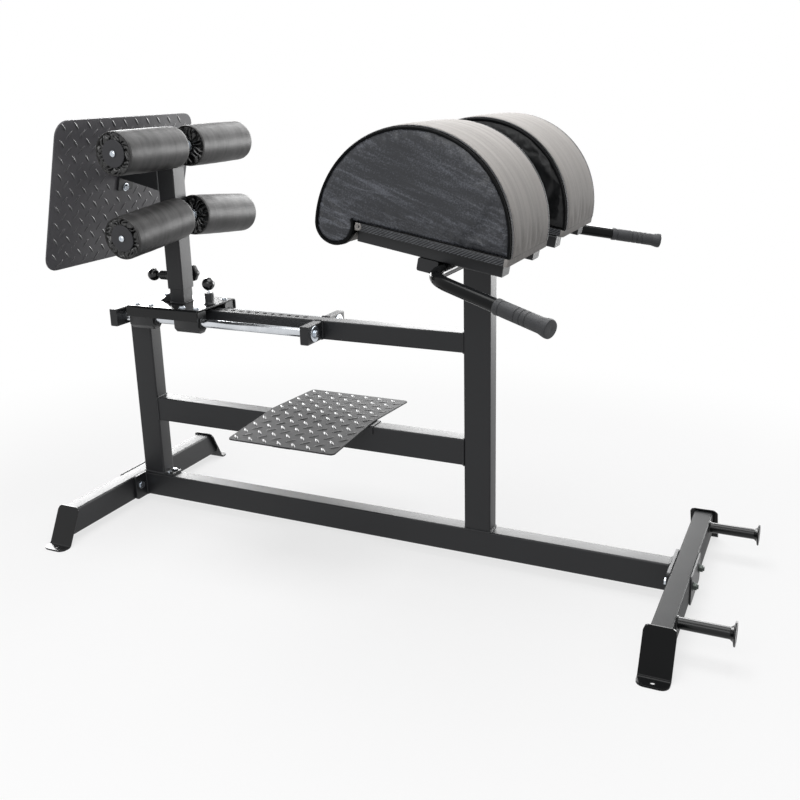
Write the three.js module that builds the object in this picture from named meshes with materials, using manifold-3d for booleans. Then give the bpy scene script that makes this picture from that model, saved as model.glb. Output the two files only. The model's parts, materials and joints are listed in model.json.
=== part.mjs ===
// A glute ham developer. A floor frame of square tube carries two domed thigh pads and a
// handlebar in front. Behind them a carriage runs on two round rods, and a mast on the
// carriage holds the foot plate and the four ankle rollers.
// Lengths are in millimetres and angles in radians. +Z is up and +X points from the
// rollers to the pads. The near side is -Y.

import * as THREE from 'three';
import { mergeVertices } from 'three/addons/utils/BufferGeometryUtils.js';
import Module from 'manifold-3d';

const wasm = await Module();
wasm.setup();

// Gaps. Welded and bolted faces lie a seam apart, and turned or sliding pieces a clearance.
const seam = 0.1;
const clearance = 0.3;
const boltEase = 0.6;
const overrun = 20;

// Counts of facets.
const arcSteps = 4;
const roundSides = 16;
const rollerSides = 24;
const smallSides = 10;
const holeSides = 8;
const domeSteps = 24;
const lobeSteps = 10;
const ballSteps = 10;
const pathSteps = 52;
const cornerSteps = 1;
const fineCornerSteps = 3;

// Main frame tube, with its tall side upright in the rails.
const tube = { tall: 75, wide: 50, wall: 3, corner: 5 };
const ground = 25;
const baseLength = 1647;
const mainUprightRear = 1094;
const baseTop = ground + tube.tall;

// Upper rail, with its row of pin holes, and the narrow cross tubes that hold the rods.
const rail = { tall: 54, wide: 45, top: 653, wall: 3, corner: 4, lowerTop: 360 };
const cross = { tall: 52, deep: 26, reach: 104, wall: 2.5, corner: 3, rear: -5 };
const bracketRear = 650;
const railBottom = rail.top - rail.tall;

// Feet: cross bars with slanted ends, each end closed by a plate bent out along the floor.
const foot = {
  halfTop: 330, lean: THREE.MathUtils.degToRad(27), thick: 5, wide: 75, rise: 6,
  tab: 34, bend: 8, tabCorner: 20, topCorner: 12, hole: 6,
};

// Bolted joints between the base tube and the two foot bars.
const flange = { wide: 150, tall: 78, thick: 8, corner: 8, bottom: 23, boltSpread: 50, boltZ: 67 };
const backPlate = { thick: 4 };
const bolt = { radius: 6, hex: 10, head: 7, nut: 10, tail: 4 };
const peg = { spread: 265, below: 1, radius: 14, disc: 29, discThick: 4, cone: 9, long: 130 };

// Foot flange of the rear upright, with its two bolt heads.
const uprightFoot = { reach: 30, thick: 6, boltSpread: 13, boltIn: 17, head: 5, hex: 6 };

// Round rods that the carriage runs on.
const rod = { radius: 12.5, spread: 70, stud: 6, washer: 22, washerThick: 3, head: 7, hex: 10 };
const rodHeight = rail.top - cross.tall / 2;

// Step plate over the middle rail, drooping to both sides, with its saddle and ribs.
const footrest = {
  rear: 482, long: 331, halfWide: 237, thick: 4, corner: 12, droop: THREE.MathUtils.degToRad(3.5),
  saddle: 3, saddleSide: 24, saddleIn: 12, saddleOut: 10, ribWide: 55, ribThick: 6, ribIn: 10,
};

// Carriage: a folded plate over four bearing blocks.
const carriage = {
  rear: 54, long: 254, halfWide: 98, top: 667, thick: 5, side: 32, bend: 5,
  blockLong: 84, blockWide: 44, blockBottom: 597, blockChamfer: 12, blockIn: 4,
  boltPitch: 50, boltRadius: 5, boltHex: 8, boltHead: 5,
};

// Sprung pins, alike on the carriage and on the mast.
const pin = {
  radius: 6, ease: 1, travel: 8, footRadius: 17, foot: 4, sleeveRadius: 13.5, sleeve: 34,
  ball: 18.5, ballOut: 60, neck: 5,
};
const pinX = 285;
const holePitch = 27;
const holeCount = 13;

// Mast: a square post on the carriage inside a square sleeve that slides on it.
const mast = {
  x: 184.5, size: 55, wall: 3, corner: 4, bottom: 710, long: 450, lid: 4,
  post: 48, postShort: 160, gussetLong: 52, gussetTall: 35, gussetThick: 8,
  pinZ: 744, pinBoss: 8, pitch: 25, settings: 7,
};
const mastTop = mast.bottom + mast.long;
const knob = { radius: 26, lobe: 3, lobes: 6, thick: 18, stem: 5, stemOut: 20, hub: 12 };

// Ankle rollers on their two axles.
const roller = {
  radius: 58, crown: 1.5, long: 249.5, gap: 5, bore: 13, shoulder: 8,
  cap: 36, capThick: 5, groove: 4, axle: 12.5, collar: 17, collarThick: 4,
  screw: 5, screwHead: 9, drop: 39, apart: 195, droop: THREE.MathUtils.degToRad(5.3),
};
const rollerInner = mast.size / 2 + roller.gap;
const axleX = mast.x + mast.size / 2 + clearance + roller.axle;
const upperZ = mastTop - roller.drop;
const lowerZ = upperZ - roller.apart;

// Foot plate, leaning forwards at the top, and its tapered arm.
const plate = {
  x: 10, drop: 150, lean: THREE.MathUtils.degToRad(14.2), wide: 592, above: 201, below: 223,
  thick: 5, corner: 42, armWide: 50, armWall: 4,
  padWide: 64, padAbove: 78, padBelow: 16, padThick: 6, boltHigh: 62, boltLow: -6,
};
const plateZ = mastTop - plate.drop;
// Heights of the arm's edges above the foot plate's own middle line.
const armRise = { topAtMast: 44, bottomAtMast: -13, topAtPlate: 30, bottomAtPlate: 21 };

// Pad deck. Its own axes lie on the boards' top plane, tipped down towards the front.
const deck = { x: 1097, z: 958, tilt: THREE.MathUtils.degToRad(10.4) };
const pad = {
  radius: 237, drop: 3, lobe: 50, lobeDrop: 15, inner: 71, wide: 290, crown: 3, edge: 3,
  tuck: 3, tuckIn: 4, panelIn: 14, panelOut: 1,
};
const board = { thick: 18, frontIn: 1, lobeGap: 1 };
const carrier = { wide: 50, tall: 30, wall: 2.5, corner: 4, outer: 313, inner: 93, front: 221 };
const beam = { deep: 50, tall: 30, wall: 3, corner: 4, halfLong: 338, front: 72, vent: 4 };
const handle = {
  radius: 15, corner: 420, splay: THREE.MathUtils.degToRad(23.5), bend: 60,
  arm: 342, gripLong: 141, gripRadius: 17, gripEnd: 20, flare: 12, gripFloor: 4,
  groove: 1.5, grooveWide: 3,
};
const grooveShares = [0.09, 0.4, 0.5, 0.6];

// Finishes.
const finish = (color, roughness, metalness) =>
  new THREE.MeshStandardMaterial({ color, roughness, metalness });
const blackCoat = () => finish(0x1c1d1f, 0.5, 0.3);
const treadCoat = () => finish(0x2a2b2c, 0.55, 0.3);
const chrome = () => finish(0xc9cccf, 0.18, 1);
const zinc = () => finish(0xb4b7ba, 0.35, 0.9);
const blackPlastic = () => finish(0x121314, 0.45, 0);
const blackVinyl = () => finish(0x24262a, 0.6, 0);
const greyVinyl = () => finish(0x6f6c68, 0.6, 0);
const rubber = () => finish(0x17181a, 0.75, 0);

// Solids and meshes

// A closed surface as a solid that can be cut or joined.
function solid(geometry) {
  const bare = geometry.index ? geometry.toNonIndexed() : geometry.clone();
  bare.deleteAttribute('normal');
  bare.deleteAttribute('uv');
  const merged = mergeVertices(bare, seam / overrun);
  const index = merged.index.array;
  const corners = [];
  for (let i = 0; i < index.length; i += 3) {
    const [a, b, c] = [index[i], index[i + 1], index[i + 2]];
    if (a !== b && b !== c && c !== a) {
      corners.push(a, b, c);
    }
  }
  const mesh = new wasm.Mesh({
    numProp: 3,
    vertProperties: new Float32Array(merged.attributes.position.array),
    triVerts: new Uint32Array(corners),
  });
  return new wasm.Manifold(mesh);
}

// The surface of a solid, as geometry for a mesh.
function surface(body) {
  const mesh = body.getMesh();
  const geometry = new THREE.BufferGeometry();
  geometry.setAttribute('position', new THREE.BufferAttribute(mesh.vertProperties, 3));
  geometry.setIndex(new THREE.BufferAttribute(mesh.triVerts, 1));
  geometry.computeVertexNormals();
  return geometry;
}

// Cuts every tool from a body.
const cut = (body, ...tools) => tools.reduce((rest, tool) => rest.subtract(solid(tool)), solid(body));

// Joins every extra to a body.
const join = (body, ...extras) => extras.reduce((sum, extra) => sum.add(solid(extra)), solid(body));

const axisX = new THREE.Vector3(1, 0, 0);
const axisY = new THREE.Vector3(0, 1, 0);
const axisZ = new THREE.Vector3(0, 0, 1);

// Extrudes a shape along X (shape in Y and Z), along Y (shape in X and Z) or along Z.
function extrude(shape, axis, from, to, curveSegments = cornerSteps) {
  const settings = { depth: to - from, bevelEnabled: false, curveSegments };
  const geometry = new THREE.ExtrudeGeometry(shape, settings);
  const basis = new THREE.Matrix4();
  if (axis === 'x') {
    basis.makeBasis(axisY, axisZ, axisX);
    basis.setPosition(from, 0, 0);
  } else if (axis === 'y') {
    basis.makeBasis(axisX, axisZ, axisY.clone().negate());
    basis.setPosition(0, to, 0);
  } else {
    basis.setPosition(0, 0, from);
  }
  return geometry.applyMatrix4(basis);
}

// A rectangle with round corners, given by its sides.
function roundedRect(left, right, low, high, radius) {
  const shape = new THREE.Shape();
  const quarter = Math.PI / 2;
  shape.moveTo(left + radius, low);
  shape.lineTo(right - radius, low);
  shape.absarc(right - radius, low + radius, radius, -quarter, 0);
  shape.lineTo(right, high - radius);
  shape.absarc(right - radius, high - radius, radius, 0, quarter);
  shape.lineTo(left + radius, high);
  shape.absarc(left + radius, high - radius, radius, quarter, 2 * quarter);
  shape.lineTo(left, low + radius);
  shape.absarc(left + radius, low + radius, radius, 2 * quarter, 3 * quarter);
  return shape;
}

// A closed outline through points.
const outline = (points) => new THREE.Shape(points.map(([x, y]) => new THREE.Vector2(x, y)));

// The section of a rectangular tube.
function tubeSection(left, right, low, high, wall, corner) {
  const shape = roundedRect(left, right, low, high, corner);
  const inner = roundedRect(left + wall, right - wall, low + wall, high - wall, corner - wall / 2);
  shape.holes.push(inner);
  return shape;
}

// A round bar along an axis, from one place to another.
function bar(radius, axis, from, to, across = [0, 0], sides = roundSides) {
  const geometry = new THREE.CylinderGeometry(radius, radius, to - from, sides);
  geometry.translate(0, (from + to) / 2, 0);
  return aim(geometry, axis, across);
}

// Turns a shape made along Y so that it lies along an axis, then shifts it across it.
function aim(geometry, axis, [first, second]) {
  if (axis === 'x') {
    return geometry.rotateZ(-Math.PI / 2).translate(0, first, second);
  }
  if (axis === 'z') {
    return geometry.rotateX(Math.PI / 2).translate(first, second, 0);
  }
  return geometry.translate(first, 0, second);
}

// A turned piece from a profile of radius and height pairs.
function turned(profile, sides = roundSides) {
  const points = profile.map(([radius, height]) => new THREE.Vector2(radius, height));
  return new THREE.LatheGeometry(points, sides);
}

// Points on an arc as pairs.
function arc(cx, cy, radius, start, end, steps) {
  return Array.from({ length: steps + 1 }, (_, i) => {
    const angle = start + ((end - start) * i) / steps;
    return [cx + radius * Math.cos(angle), cy + radius * Math.sin(angle)];
  });
}

// The section of a strip folded along a line of points, with round bends.
function foldedStrip(points, thick, bend) {
  const middle = bend + thick / 2;
  const samples = [];
  const corners = points.map(([x, y]) => new THREE.Vector2(x, y));
  corners.forEach((corner, i) => {
    const before = corners[i - 1];
    const after = corners[i + 1];
    if (!before || !after) {
      const along = before ? corner.clone().sub(before) : after.clone().sub(corner);
      samples.push({ at: corner.clone(), along: along.normalize() });
      return;
    }
    const arrive = corner.clone().sub(before).normalize();
    const leave = after.clone().sub(corner).normalize();
    const turn = Math.atan2(arrive.cross(leave), arrive.dot(leave));
    const back = middle * Math.tan(Math.abs(turn) / 2);
    const start = corner.clone().addScaledVector(arrive, -back);
    const side = new THREE.Vector2(-arrive.y, arrive.x).multiplyScalar(Math.sign(turn));
    const centre = start.clone().addScaledVector(side, middle);
    for (let k = 0; k <= arcSteps; k += 1) {
      const angle = (turn * k) / arcSteps;
      const at = start.clone().rotateAround(centre, angle);
      samples.push({ at, along: arrive.clone().rotateAround(new THREE.Vector2(), angle) });
    }
  });
  const offset = ({ at, along }, side) => [at.x - along.y * side, at.y + along.x * side];
  const left = samples.map((sample) => offset(sample, thick / 2));
  const right = samples.map((sample) => offset(sample, -thick / 2)).reverse();
  return outline([...left, ...right]);
}

// The assembly

const machine = new THREE.Group();

function piece(name, shape, material, parent = machine) {
  const geometry = shape.isBufferGeometry ? shape : surface(shape);
  const mesh = new THREE.Mesh(geometry, material);
  mesh.name = name;
  parent.add(mesh);
  return mesh;
}

// The near side is -1 and the far side +1.
const sides = [['near', -1], ['far', 1]];

// A main frame tube along X or Z, centred across.
const frameSection = () =>
  tubeSection(-tube.wide / 2, tube.wide / 2, -tube.tall / 2, tube.tall / 2, tube.wall, tube.corner);

// Base tube, uprights and rails

piece('base_tube', extrude(frameSection(), 'x', seam, baseLength - seam), blackCoat())
  .position.z = ground + tube.tall / 2;

const midRail = extrude(frameSection(), 'x', tube.tall + seam, mainUprightRear - seam);
piece('mid_rail', midRail, blackCoat()).position.z = rail.lowerTop - tube.tall / 2;

const uprightSection = () =>
  tubeSection(0, tube.tall, -tube.wide / 2, tube.wide / 2, tube.wall, tube.corner);

function rearUpright() {
  const plan = roundedRect(0, tube.tall + uprightFoot.reach, -tube.wide / 2, tube.wide / 2, tube.corner);
  const floor = baseTop + seam;
  const sole = extrude(plan, 'z', floor, floor + uprightFoot.thick);
  const post = extrude(uprightSection(), 'z', floor, railBottom - seam);
  const heads = sides.map(([, side]) => {
    const across = [tube.tall + uprightFoot.boltIn, side * uprightFoot.boltSpread];
    const top = floor + uprightFoot.thick + uprightFoot.head;
    return bar(uprightFoot.hex, 'z', floor, top, across, smallSides);
  });
  return join(post, sole, ...heads);
}
piece('rear_upright', rearUpright(), blackCoat());

// The pad deck's own place, for what is cut or made to its slope.
const deckPlace = new THREE.Matrix4().makeRotationY(deck.tilt).setPosition(deck.x, 0, deck.z);
const beamTop = -board.thick - carrier.tall - 2 * clearance;
const beamBottom = beamTop - beam.tall;

function mainUpright() {
  const post = extrude(uprightSection(), 'z', baseTop + seam, deck.z);
  post.translate(mainUprightRear, 0, 0);
  const wedge = roundedRect(-pad.radius, pad.radius, beamBottom - clearance, pad.radius, tube.corner);
  const above = extrude(wedge, 'y', -tube.wide, tube.wide).applyMatrix4(deckPlace);
  return cut(post, above);
}
piece('main_upright', mainUpright(), blackCoat());

const holePlaces = Array.from({ length: holeCount }, (_, i) => pinX + i * holePitch);

function upperRail() {
  const section = tubeSection(-rail.wide / 2, rail.wide / 2, railBottom, rail.top, rail.wall, rail.corner);
  const length = extrude(section, 'x', cross.rear + cross.deep + seam, mainUprightRear - seam);
  const bore = pin.radius + pin.ease;
  const holes = holePlaces.map((x) =>
    bar(bore, 'z', rail.top - 2 * rail.wall, rail.top + overrun, [x, 0], holeSides));
  return cut(length, ...holes);
}
piece('upper_rail', upperRail(), blackCoat());

// Narrow cross tubes and the rods between them

const rodFront = bracketRear - seam;
const rodRear = cross.rear + cross.deep + seam;
const studBore = rod.stud + clearance;

function rearCrossBar() {
  const low = rail.top - cross.tall;
  const front = cross.rear + cross.deep;
  const outer = extrude(
    roundedRect(cross.rear, front, low, rail.top, cross.corner), 'y', -cross.reach, cross.reach);
  const inner = extrude(
    roundedRect(cross.rear + cross.wall, front - cross.wall, low + cross.wall,
      rail.top - cross.wall, cross.corner),
    'y', -cross.reach + cross.wall, cross.reach - cross.wall);
  const studs = sides.map(([, side]) =>
    bar(studBore, 'x', cross.rear - overrun, front + overrun, [side * rod.spread, rodHeight]));
  return cut(outer, inner, ...studs);
}
piece('rear_cross_bar', rearCrossBar(), blackCoat());

function rodBracket(side) {
  const low = rail.top - cross.tall;
  const front = bracketRear + cross.deep;
  const inside = rail.wide / 2 + seam;
  const outer = extrude(
    roundedRect(bracketRear, front, low, rail.top, cross.corner), 'y', inside, cross.reach);
  const inner = extrude(
    roundedRect(bracketRear + cross.wall, front - cross.wall, low + cross.wall,
      rail.top - cross.wall, cross.corner),
    'y', inside - overrun, cross.reach - cross.wall);
  const stud = bar(studBore, 'x', bracketRear - overrun, front + overrun, [rod.spread, rodHeight]);
  const body = cut(outer, inner, stud);
  return side > 0 ? body : body.mirror([0, 1, 0]);
}

// A rod with a stud, washer and nut at each end, turned as one.
function guideRod() {
  const front = bracketRear + cross.deep + seam;
  const rear = cross.rear - seam;
  const profile = [
    [0, rear - rod.washerThick - rod.head],
    [rod.hex, rear - rod.washerThick - rod.head],
    [rod.hex, rear - rod.washerThick],
    [rod.washer, rear - rod.washerThick],
    [rod.washer, rear],
    [rod.stud, rear],
    [rod.stud, rodRear],
    [rod.radius, rodRear],
    [rod.radius, rodFront],
    [rod.stud, rodFront],
    [rod.stud, front],
    [rod.washer, front],
    [rod.washer, front + rod.washerThick],
    [rod.hex, front + rod.washerThick],
    [rod.hex, front + rod.washerThick + rod.head],
    [0, front + rod.washerThick + rod.head],
  ];
  return aim(turned(profile), 'x', [0, 0]);
}

for (const [word, side] of sides) {
  piece(`rod_bracket_${word}`, rodBracket(side), blackCoat());
  piece(`guide_rod_${word}`, guideRod(), chrome()).position.set(0, side * rod.spread, rodHeight);
}

// Foot bars, their bent end plates and the bolted joints

const rearBarFront = -flange.thick;
const frontBarRear = baseLength + flange.thick;
const barMiddle = { rear: rearBarFront - tube.wide / 2, front: frontBarRear + tube.wide / 2 };
const boltHeight = flange.boltZ;
const slope = Math.tan(foot.lean);
const boltBore = bolt.radius + boltEase;

// Holes along X for the two bolts of a joint.
const jointBores = (from, to) => sides.map(([, side]) =>
  bar(boltBore, 'x', from, to, [side * flange.boltSpread, boltHeight], smallSides));

// A plate of the joint, from one place along X to another.
function jointPlate(from, to) {
  const half = flange.wide / 2;
  const shape = roundedRect(-half, half, flange.bottom, flange.bottom + flange.tall, flange.corner);
  return cut(extrude(shape, 'x', from, to), ...jointBores(from - overrun, to + overrun));
}

// A foot bar along Y, with slanted ends and holes for its two bolts.
function footBar() {
  const half = foot.halfTop + slope * tube.tall + overrun;
  const section = tubeSection(
    -tube.wide / 2, tube.wide / 2, ground, baseTop, tube.wall, tube.corner);
  const length = extrude(section, 'y', -half, half);
  const low = ground - overrun;
  const high = baseTop + overrun;
  const edge = (z) => foot.halfTop + slope * (baseTop - z) - clearance;
  const wedges = sides.map(([, side]) => {
    const points = [[edge(low), low], [2 * half, low], [2 * half, high], [edge(high), high]];
    const placed = points.map(([y, z]) => [side * y, z]);
    const ordered = side > 0 ? placed : placed.reverse();
    return extrude(outline(ordered), 'x', -tube.wide, tube.wide);
  });
  return cut(length, ...wedges, ...jointBores(-tube.wide, tube.wide));
}

// An end plate: a leg against the bar's slanted end, bent out into a tab on the floor.
function footPlate(side) {
  const half = foot.thick / 2;
  const legX = (z) => foot.halfTop + slope * (baseTop - z) + half / Math.cos(foot.lean);
  const top = baseTop + foot.rise;
  const end = legX(half) + foot.tab;
  const strip = foldedStrip([[legX(top), top], [legX(half), half], [end, half]], foot.thick, foot.bend);
  const body = solid(extrude(strip, 'x', -foot.wide / 2, foot.wide / 2));
  const halfWide = foot.wide / 2;
  const start = legX(top) - overrun;
  const plan = roundedRect(-halfWide, halfWide, start - overrun, end, foot.tabCorner);
  const front = roundedRect(-halfWide, halfWide, -overrun, top, foot.topCorner);
  const hole = bar(foot.hole, 'z', -overrun, overrun, [0, end - foot.tab / 2], smallSides);
  const shaped = body
    .intersect(solid(extrude(plan, 'z', -overrun, top + overrun, fineCornerSteps - 1)))
    .intersect(solid(extrude(front, 'y', start - overrun, end + overrun)))
    .subtract(solid(hole));
  return side > 0 ? shaped : shaped.mirror([0, 1, 0]);
}

// A joint bolt from its head at one side of the joint to its nut at the other.
function jointBolt() {
  const grip = flange.thick + tube.wide + backPlate.thick + 2 * seam;
  const profile = [
    [0, -bolt.head],
    [bolt.hex, -bolt.head],
    [bolt.hex, 0],
    [bolt.radius, 0],
    [bolt.radius, grip],
    [bolt.hex, grip],
    [bolt.hex, grip + bolt.nut],
    [bolt.radius, grip + bolt.nut],
    [bolt.radius, grip + bolt.nut + bolt.tail],
    [0, grip + bolt.nut + bolt.tail],
  ];
  return aim(turned(profile, smallSides), 'x', [0, 0]);
}

// Each joint has a place along X and a direction out of the base tube.
const joints = [['rear', 0, -1], ['front', baseLength, 1]];
for (const [word, place, out] of joints) {
  const between = (near, far) => [Math.min(place + out * near, place + out * far),
    Math.max(place + out * near, place + out * far)];
  const [flangeFrom, flangeTo] = between(0, flange.thick - seam);
  piece(`${word}_joint_flange`, jointPlate(flangeFrom, flangeTo), blackCoat());
  const outside = flange.thick + tube.wide + seam;
  const [backFrom, backTo] = between(outside, outside + backPlate.thick);
  piece(`${word}_back_plate`, jointPlate(backFrom, backTo), blackCoat());
  piece(`${word}_foot_bar`, footBar(), blackCoat()).position.x = barMiddle[word];
  for (const [end, side] of sides) {
    piece(`${word}_foot_${end}`, footPlate(side), blackCoat()).position.x = barMiddle[word];
    const shank = piece(`${word}_joint_bolt_${end}`, jointBolt(), zinc());
    shank.position.set(place - out * seam, side * flange.boltSpread, boltHeight);
    shank.rotation.z = out > 0 ? 0 : Math.PI;
  }
}

// Band pegs on the front foot bar: a round stub with a flared disc.
function bandPeg() {
  const face = peg.long - peg.discThick;
  const profile = [
    [0, 0],
    [peg.radius, 0],
    [peg.radius, face - peg.cone],
    [peg.radius + peg.cone / 2, face],
    [peg.disc, face],
    [peg.disc, peg.long],
    [0, peg.long],
  ];
  return aim(turned(profile), 'x', [0, 0]);
}
const barFace = frontBarRear + tube.wide;
for (const [word, side] of sides) {
  piece(`band_peg_${word}`, bandPeg(), blackCoat())
    .position.set(barFace + seam, side * peg.spread, baseTop - peg.below - peg.radius);
}

// Step plate on its saddle

const saddleTop = rail.lowerTop + seam + footrest.saddle;

function stepSaddle() {
  const half = tube.wide / 2 + clearance + footrest.saddle / 2;
  const high = saddleTop - footrest.saddle / 2;
  const low = saddleTop - footrest.saddleSide;
  const strip = foldedStrip([[-half, low], [-half, high], [half, high], [half, low]],
    footrest.saddle, footrest.saddle / 2);
  return extrude(strip, 'x', footrest.rear + footrest.saddleIn, footrest.rear + footrest.long + footrest.saddleOut);
}
piece('step_saddle', stepSaddle(), blackCoat());

// The plate is folded along a ridge over the rail and rests on the saddle's two edges.
function stepPlate() {
  const edge = tube.wide / 2 + clearance + footrest.saddle;
  const fall = Math.tan(footrest.droop);
  const ridge = saddleTop + seam + edge * fall;
  const roof = (across, rise) => [across, ridge + rise - Math.abs(across) * fall];
  const layer = (inner, outer, low, high) => outline([
    roof(inner, low), roof(outer, low), roof(outer, high), roof(inner, high),
  ]);
  const span = footrest.halfWide + overrun;
  const section = outline([
    roof(-span, 0), roof(0, 0), roof(span, 0),
    roof(span, footrest.thick), roof(0, footrest.thick), roof(-span, footrest.thick),
  ]);
  const front = footrest.rear + footrest.long;
  const plan = extrude(
    roundedRect(footrest.rear, front, -footrest.halfWide, footrest.halfWide, footrest.corner),
    'z', rail.lowerTop - tube.tall, rail.lowerTop + tube.tall, fineCornerSteps - 1);
  const sheet = solid(extrude(section, 'x', footrest.rear - overrun, front + overrun)).intersect(solid(plan));
  const middle = footrest.rear + footrest.long / 2;
  const ribs = sides.map(([, side]) => {
    const ends = [side * (edge + clearance), side * (footrest.halfWide - footrest.ribIn)].sort((a, b) => a - b);
    const rib = layer(...ends, -footrest.ribThick, footrest.thick / 2);
    return extrude(rib, 'x', middle - footrest.ribWide / 2, middle + footrest.ribWide / 2);
  });
  return ribs.reduce((sum, rib) => sum.add(solid(rib)), sheet);
}
piece('step_plate', stepPlate(), treadCoat());

// Carriage

const carriageFront = carriage.rear + carriage.long;
const underside = carriage.top - carriage.thick;
const blockPlaces = [
  ['rear', carriage.rear + carriage.blockIn],
  ['front', carriageFront - carriage.blockIn - carriage.blockLong],
];
const boltPlaces = (start) => [-1, 1].map((way) =>
  start + carriage.blockLong / 2 + (way * carriage.boltPitch) / 2);

function carriagePlate() {
  const half = carriage.halfWide - carriage.thick / 2;
  const high = carriage.top - carriage.thick / 2;
  const low = carriage.top - carriage.side;
  const strip = foldedStrip([[-half, low], [-half, high], [half, high], [half, low]],
    carriage.thick, carriage.bend);
  const sheet = extrude(strip, 'x', carriage.rear, carriageFront);
  const from = underside - overrun;
  const to = carriage.top + overrun;
  const bores = blockPlaces.flatMap(([, start]) => boltPlaces(start).flatMap((x) =>
    sides.map(([, side]) =>
      bar(carriage.boltRadius + boltEase, 'z', from, to, [x, side * rod.spread], smallSides))));
  const pinBore = bar(pin.radius + pin.ease, 'z', from, to, [pinX, 0], smallSides);
  return cut(sheet, ...bores, pinBore);
}
piece('carriage_plate', carriagePlate(), blackCoat());

// A bearing block round a rod, with the two screws that hold it up through the plate.
function bearingBlock(start, side) {
  const y = side * rod.spread;
  const half = carriage.blockWide / 2;
  const low = carriage.blockBottom;
  const high = underside - seam;
  const chamfer = carriage.blockChamfer;
  const shoulder = carriage.bend;
  const section = outline([
    [y - half + shoulder, high], [y - half, high - shoulder], [y - half, low + chamfer],
    [y - half + chamfer, low], [y + half - chamfer, low], [y + half, low + chamfer],
    [y + half, high - shoulder], [y + half - shoulder, high],
  ]);
  const end = start + carriage.blockLong;
  const body = extrude(section, 'x', start, end);
  const bore = bar(rod.radius + 2 * clearance, 'x', start - overrun, end + overrun, [y, rodHeight]);
  const headLow = carriage.top + seam;
  const screws = boltPlaces(start).flatMap((x) => [
    bar(carriage.boltRadius, 'z', high - overrun / 2, headLow + carriage.boltHead / 2, [x, y], smallSides),
    bar(carriage.boltHex, 'z', headLow, headLow + carriage.boltHead, [x, y], 6),
  ]);
  return join(body, ...screws).subtract(solid(bore));
}
for (const [word, start] of blockPlaces) {
  for (const [end, side] of sides) {
    piece(`bearing_block_${word}_${end}`, bearingBlock(start, side), blackPlastic());
  }
}

// A housing for a sprung pin, standing along +Z, with its foot drawn down over a boss.
function pinHousing(boss) {
  const bore = pin.radius + clearance;
  const profile = [
    [bore, seam - boss],
    [pin.footRadius, seam - boss],
    [pin.footRadius, seam + pin.foot / 2],
    [pin.sleeveRadius, seam + pin.foot],
    [pin.sleeveRadius, pin.sleeve],
    [bore, pin.sleeve],
    [bore, seam - boss],
  ];
  return aim(turned(profile), 'z', [0, 0]);
}

// The pin itself, drawn clear of its hole, with its ball knob on top.
function ballPin(reach) {
  const tip = clearance + seam - reach;
  const ball = arc(0, pin.ballOut, pin.ball, -Math.PI / 2, Math.PI / 2, ballSteps)
    .filter(([radius]) => radius > pin.neck);
  const profile = [
    [0, tip],
    [pin.radius - pin.radius / 4, tip],
    [pin.radius, tip + pin.radius / 4],
    [pin.radius, pin.sleeve + pin.travel / 2],
    [pin.neck, pin.sleeve + pin.travel / 2],
    [pin.neck, ball[0][1]],
    ...ball,
    [0, pin.ballOut + pin.ball],
  ];
  return aim(turned(profile), 'z', [0, 0]);
}

piece('carriage_pin_housing', pinHousing(0), blackPlastic()).position.set(pinX, 0, carriage.top);
piece('carriage_pin', ballPin(carriage.top - rail.top), blackPlastic())
  .position.set(pinX, 0, carriage.top);

// Mast post and sleeve

function mastPost() {
  const half = mast.post / 2;
  const low = carriage.top + seam;
  const section = tubeSection(
    mast.x - half, mast.x + half, -half, half, mast.wall, mast.corner);
  const post = extrude(section, 'z', low, mastTop - mast.postShort);
  const rear = mast.x - half;
  const gusset = extrude(
    outline([[rear - mast.gussetLong, low], [rear + mast.wall / 2, low],
      [rear + mast.wall / 2, low + mast.gussetTall], [rear, low + mast.gussetTall]]),
    'y', -mast.gussetThick / 2, mast.gussetThick / 2);
  const bore = pin.radius + pin.ease;
  const holes = Array.from({ length: mast.settings }, (_, i) =>
    bar(bore, 'x', rear - overrun, rear + 2 * mast.wall, [0, mast.pinZ + i * mast.pitch], holeSides));
  return holes.reduce((body, hole) => body.subtract(solid(hole)), join(post, gusset));
}
piece('mast_post', mastPost(), blackCoat());

const mastRear = mast.x - mast.size / 2;

function mastSleeve() {
  const half = mast.size / 2;
  const hollow = half - mast.wall;
  const outer = extrude(
    roundedRect(mast.x - half, mast.x + half, -half, half, mast.corner), 'z', mast.bottom, mastTop);
  const inner = extrude(
    roundedRect(mast.x - hollow, mast.x + hollow, -hollow, hollow, mast.corner / 2),
    'z', mast.bottom - overrun, mastTop - mast.lid);
  const pinBore = bar(
    pin.radius + pin.ease, 'x', mastRear - overrun, mastRear + 2 * mast.wall, [0, mast.pinZ], smallSides);
  const stemBore = bar(
    knob.stem + boltEase, 'y', half - 2 * mast.wall, half + overrun, [mast.x, mast.pinZ], smallSides);
  return cut(outer, inner, pinBore, stemBore);
}
piece('mast_sleeve', mastSleeve(), blackCoat());

const rearward = new THREE.Group();
rearward.position.set(mastRear - mast.pinBoss, 0, mast.pinZ);
rearward.rotation.y = -Math.PI / 2;
machine.add(rearward);
piece('mast_pin_housing', pinHousing(mast.pinBoss), blackPlastic(), rearward);
piece('mast_pin', ballPin(mast.pinBoss + mast.size / 2 - mast.post / 2),
  blackPlastic(), rearward);

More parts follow.
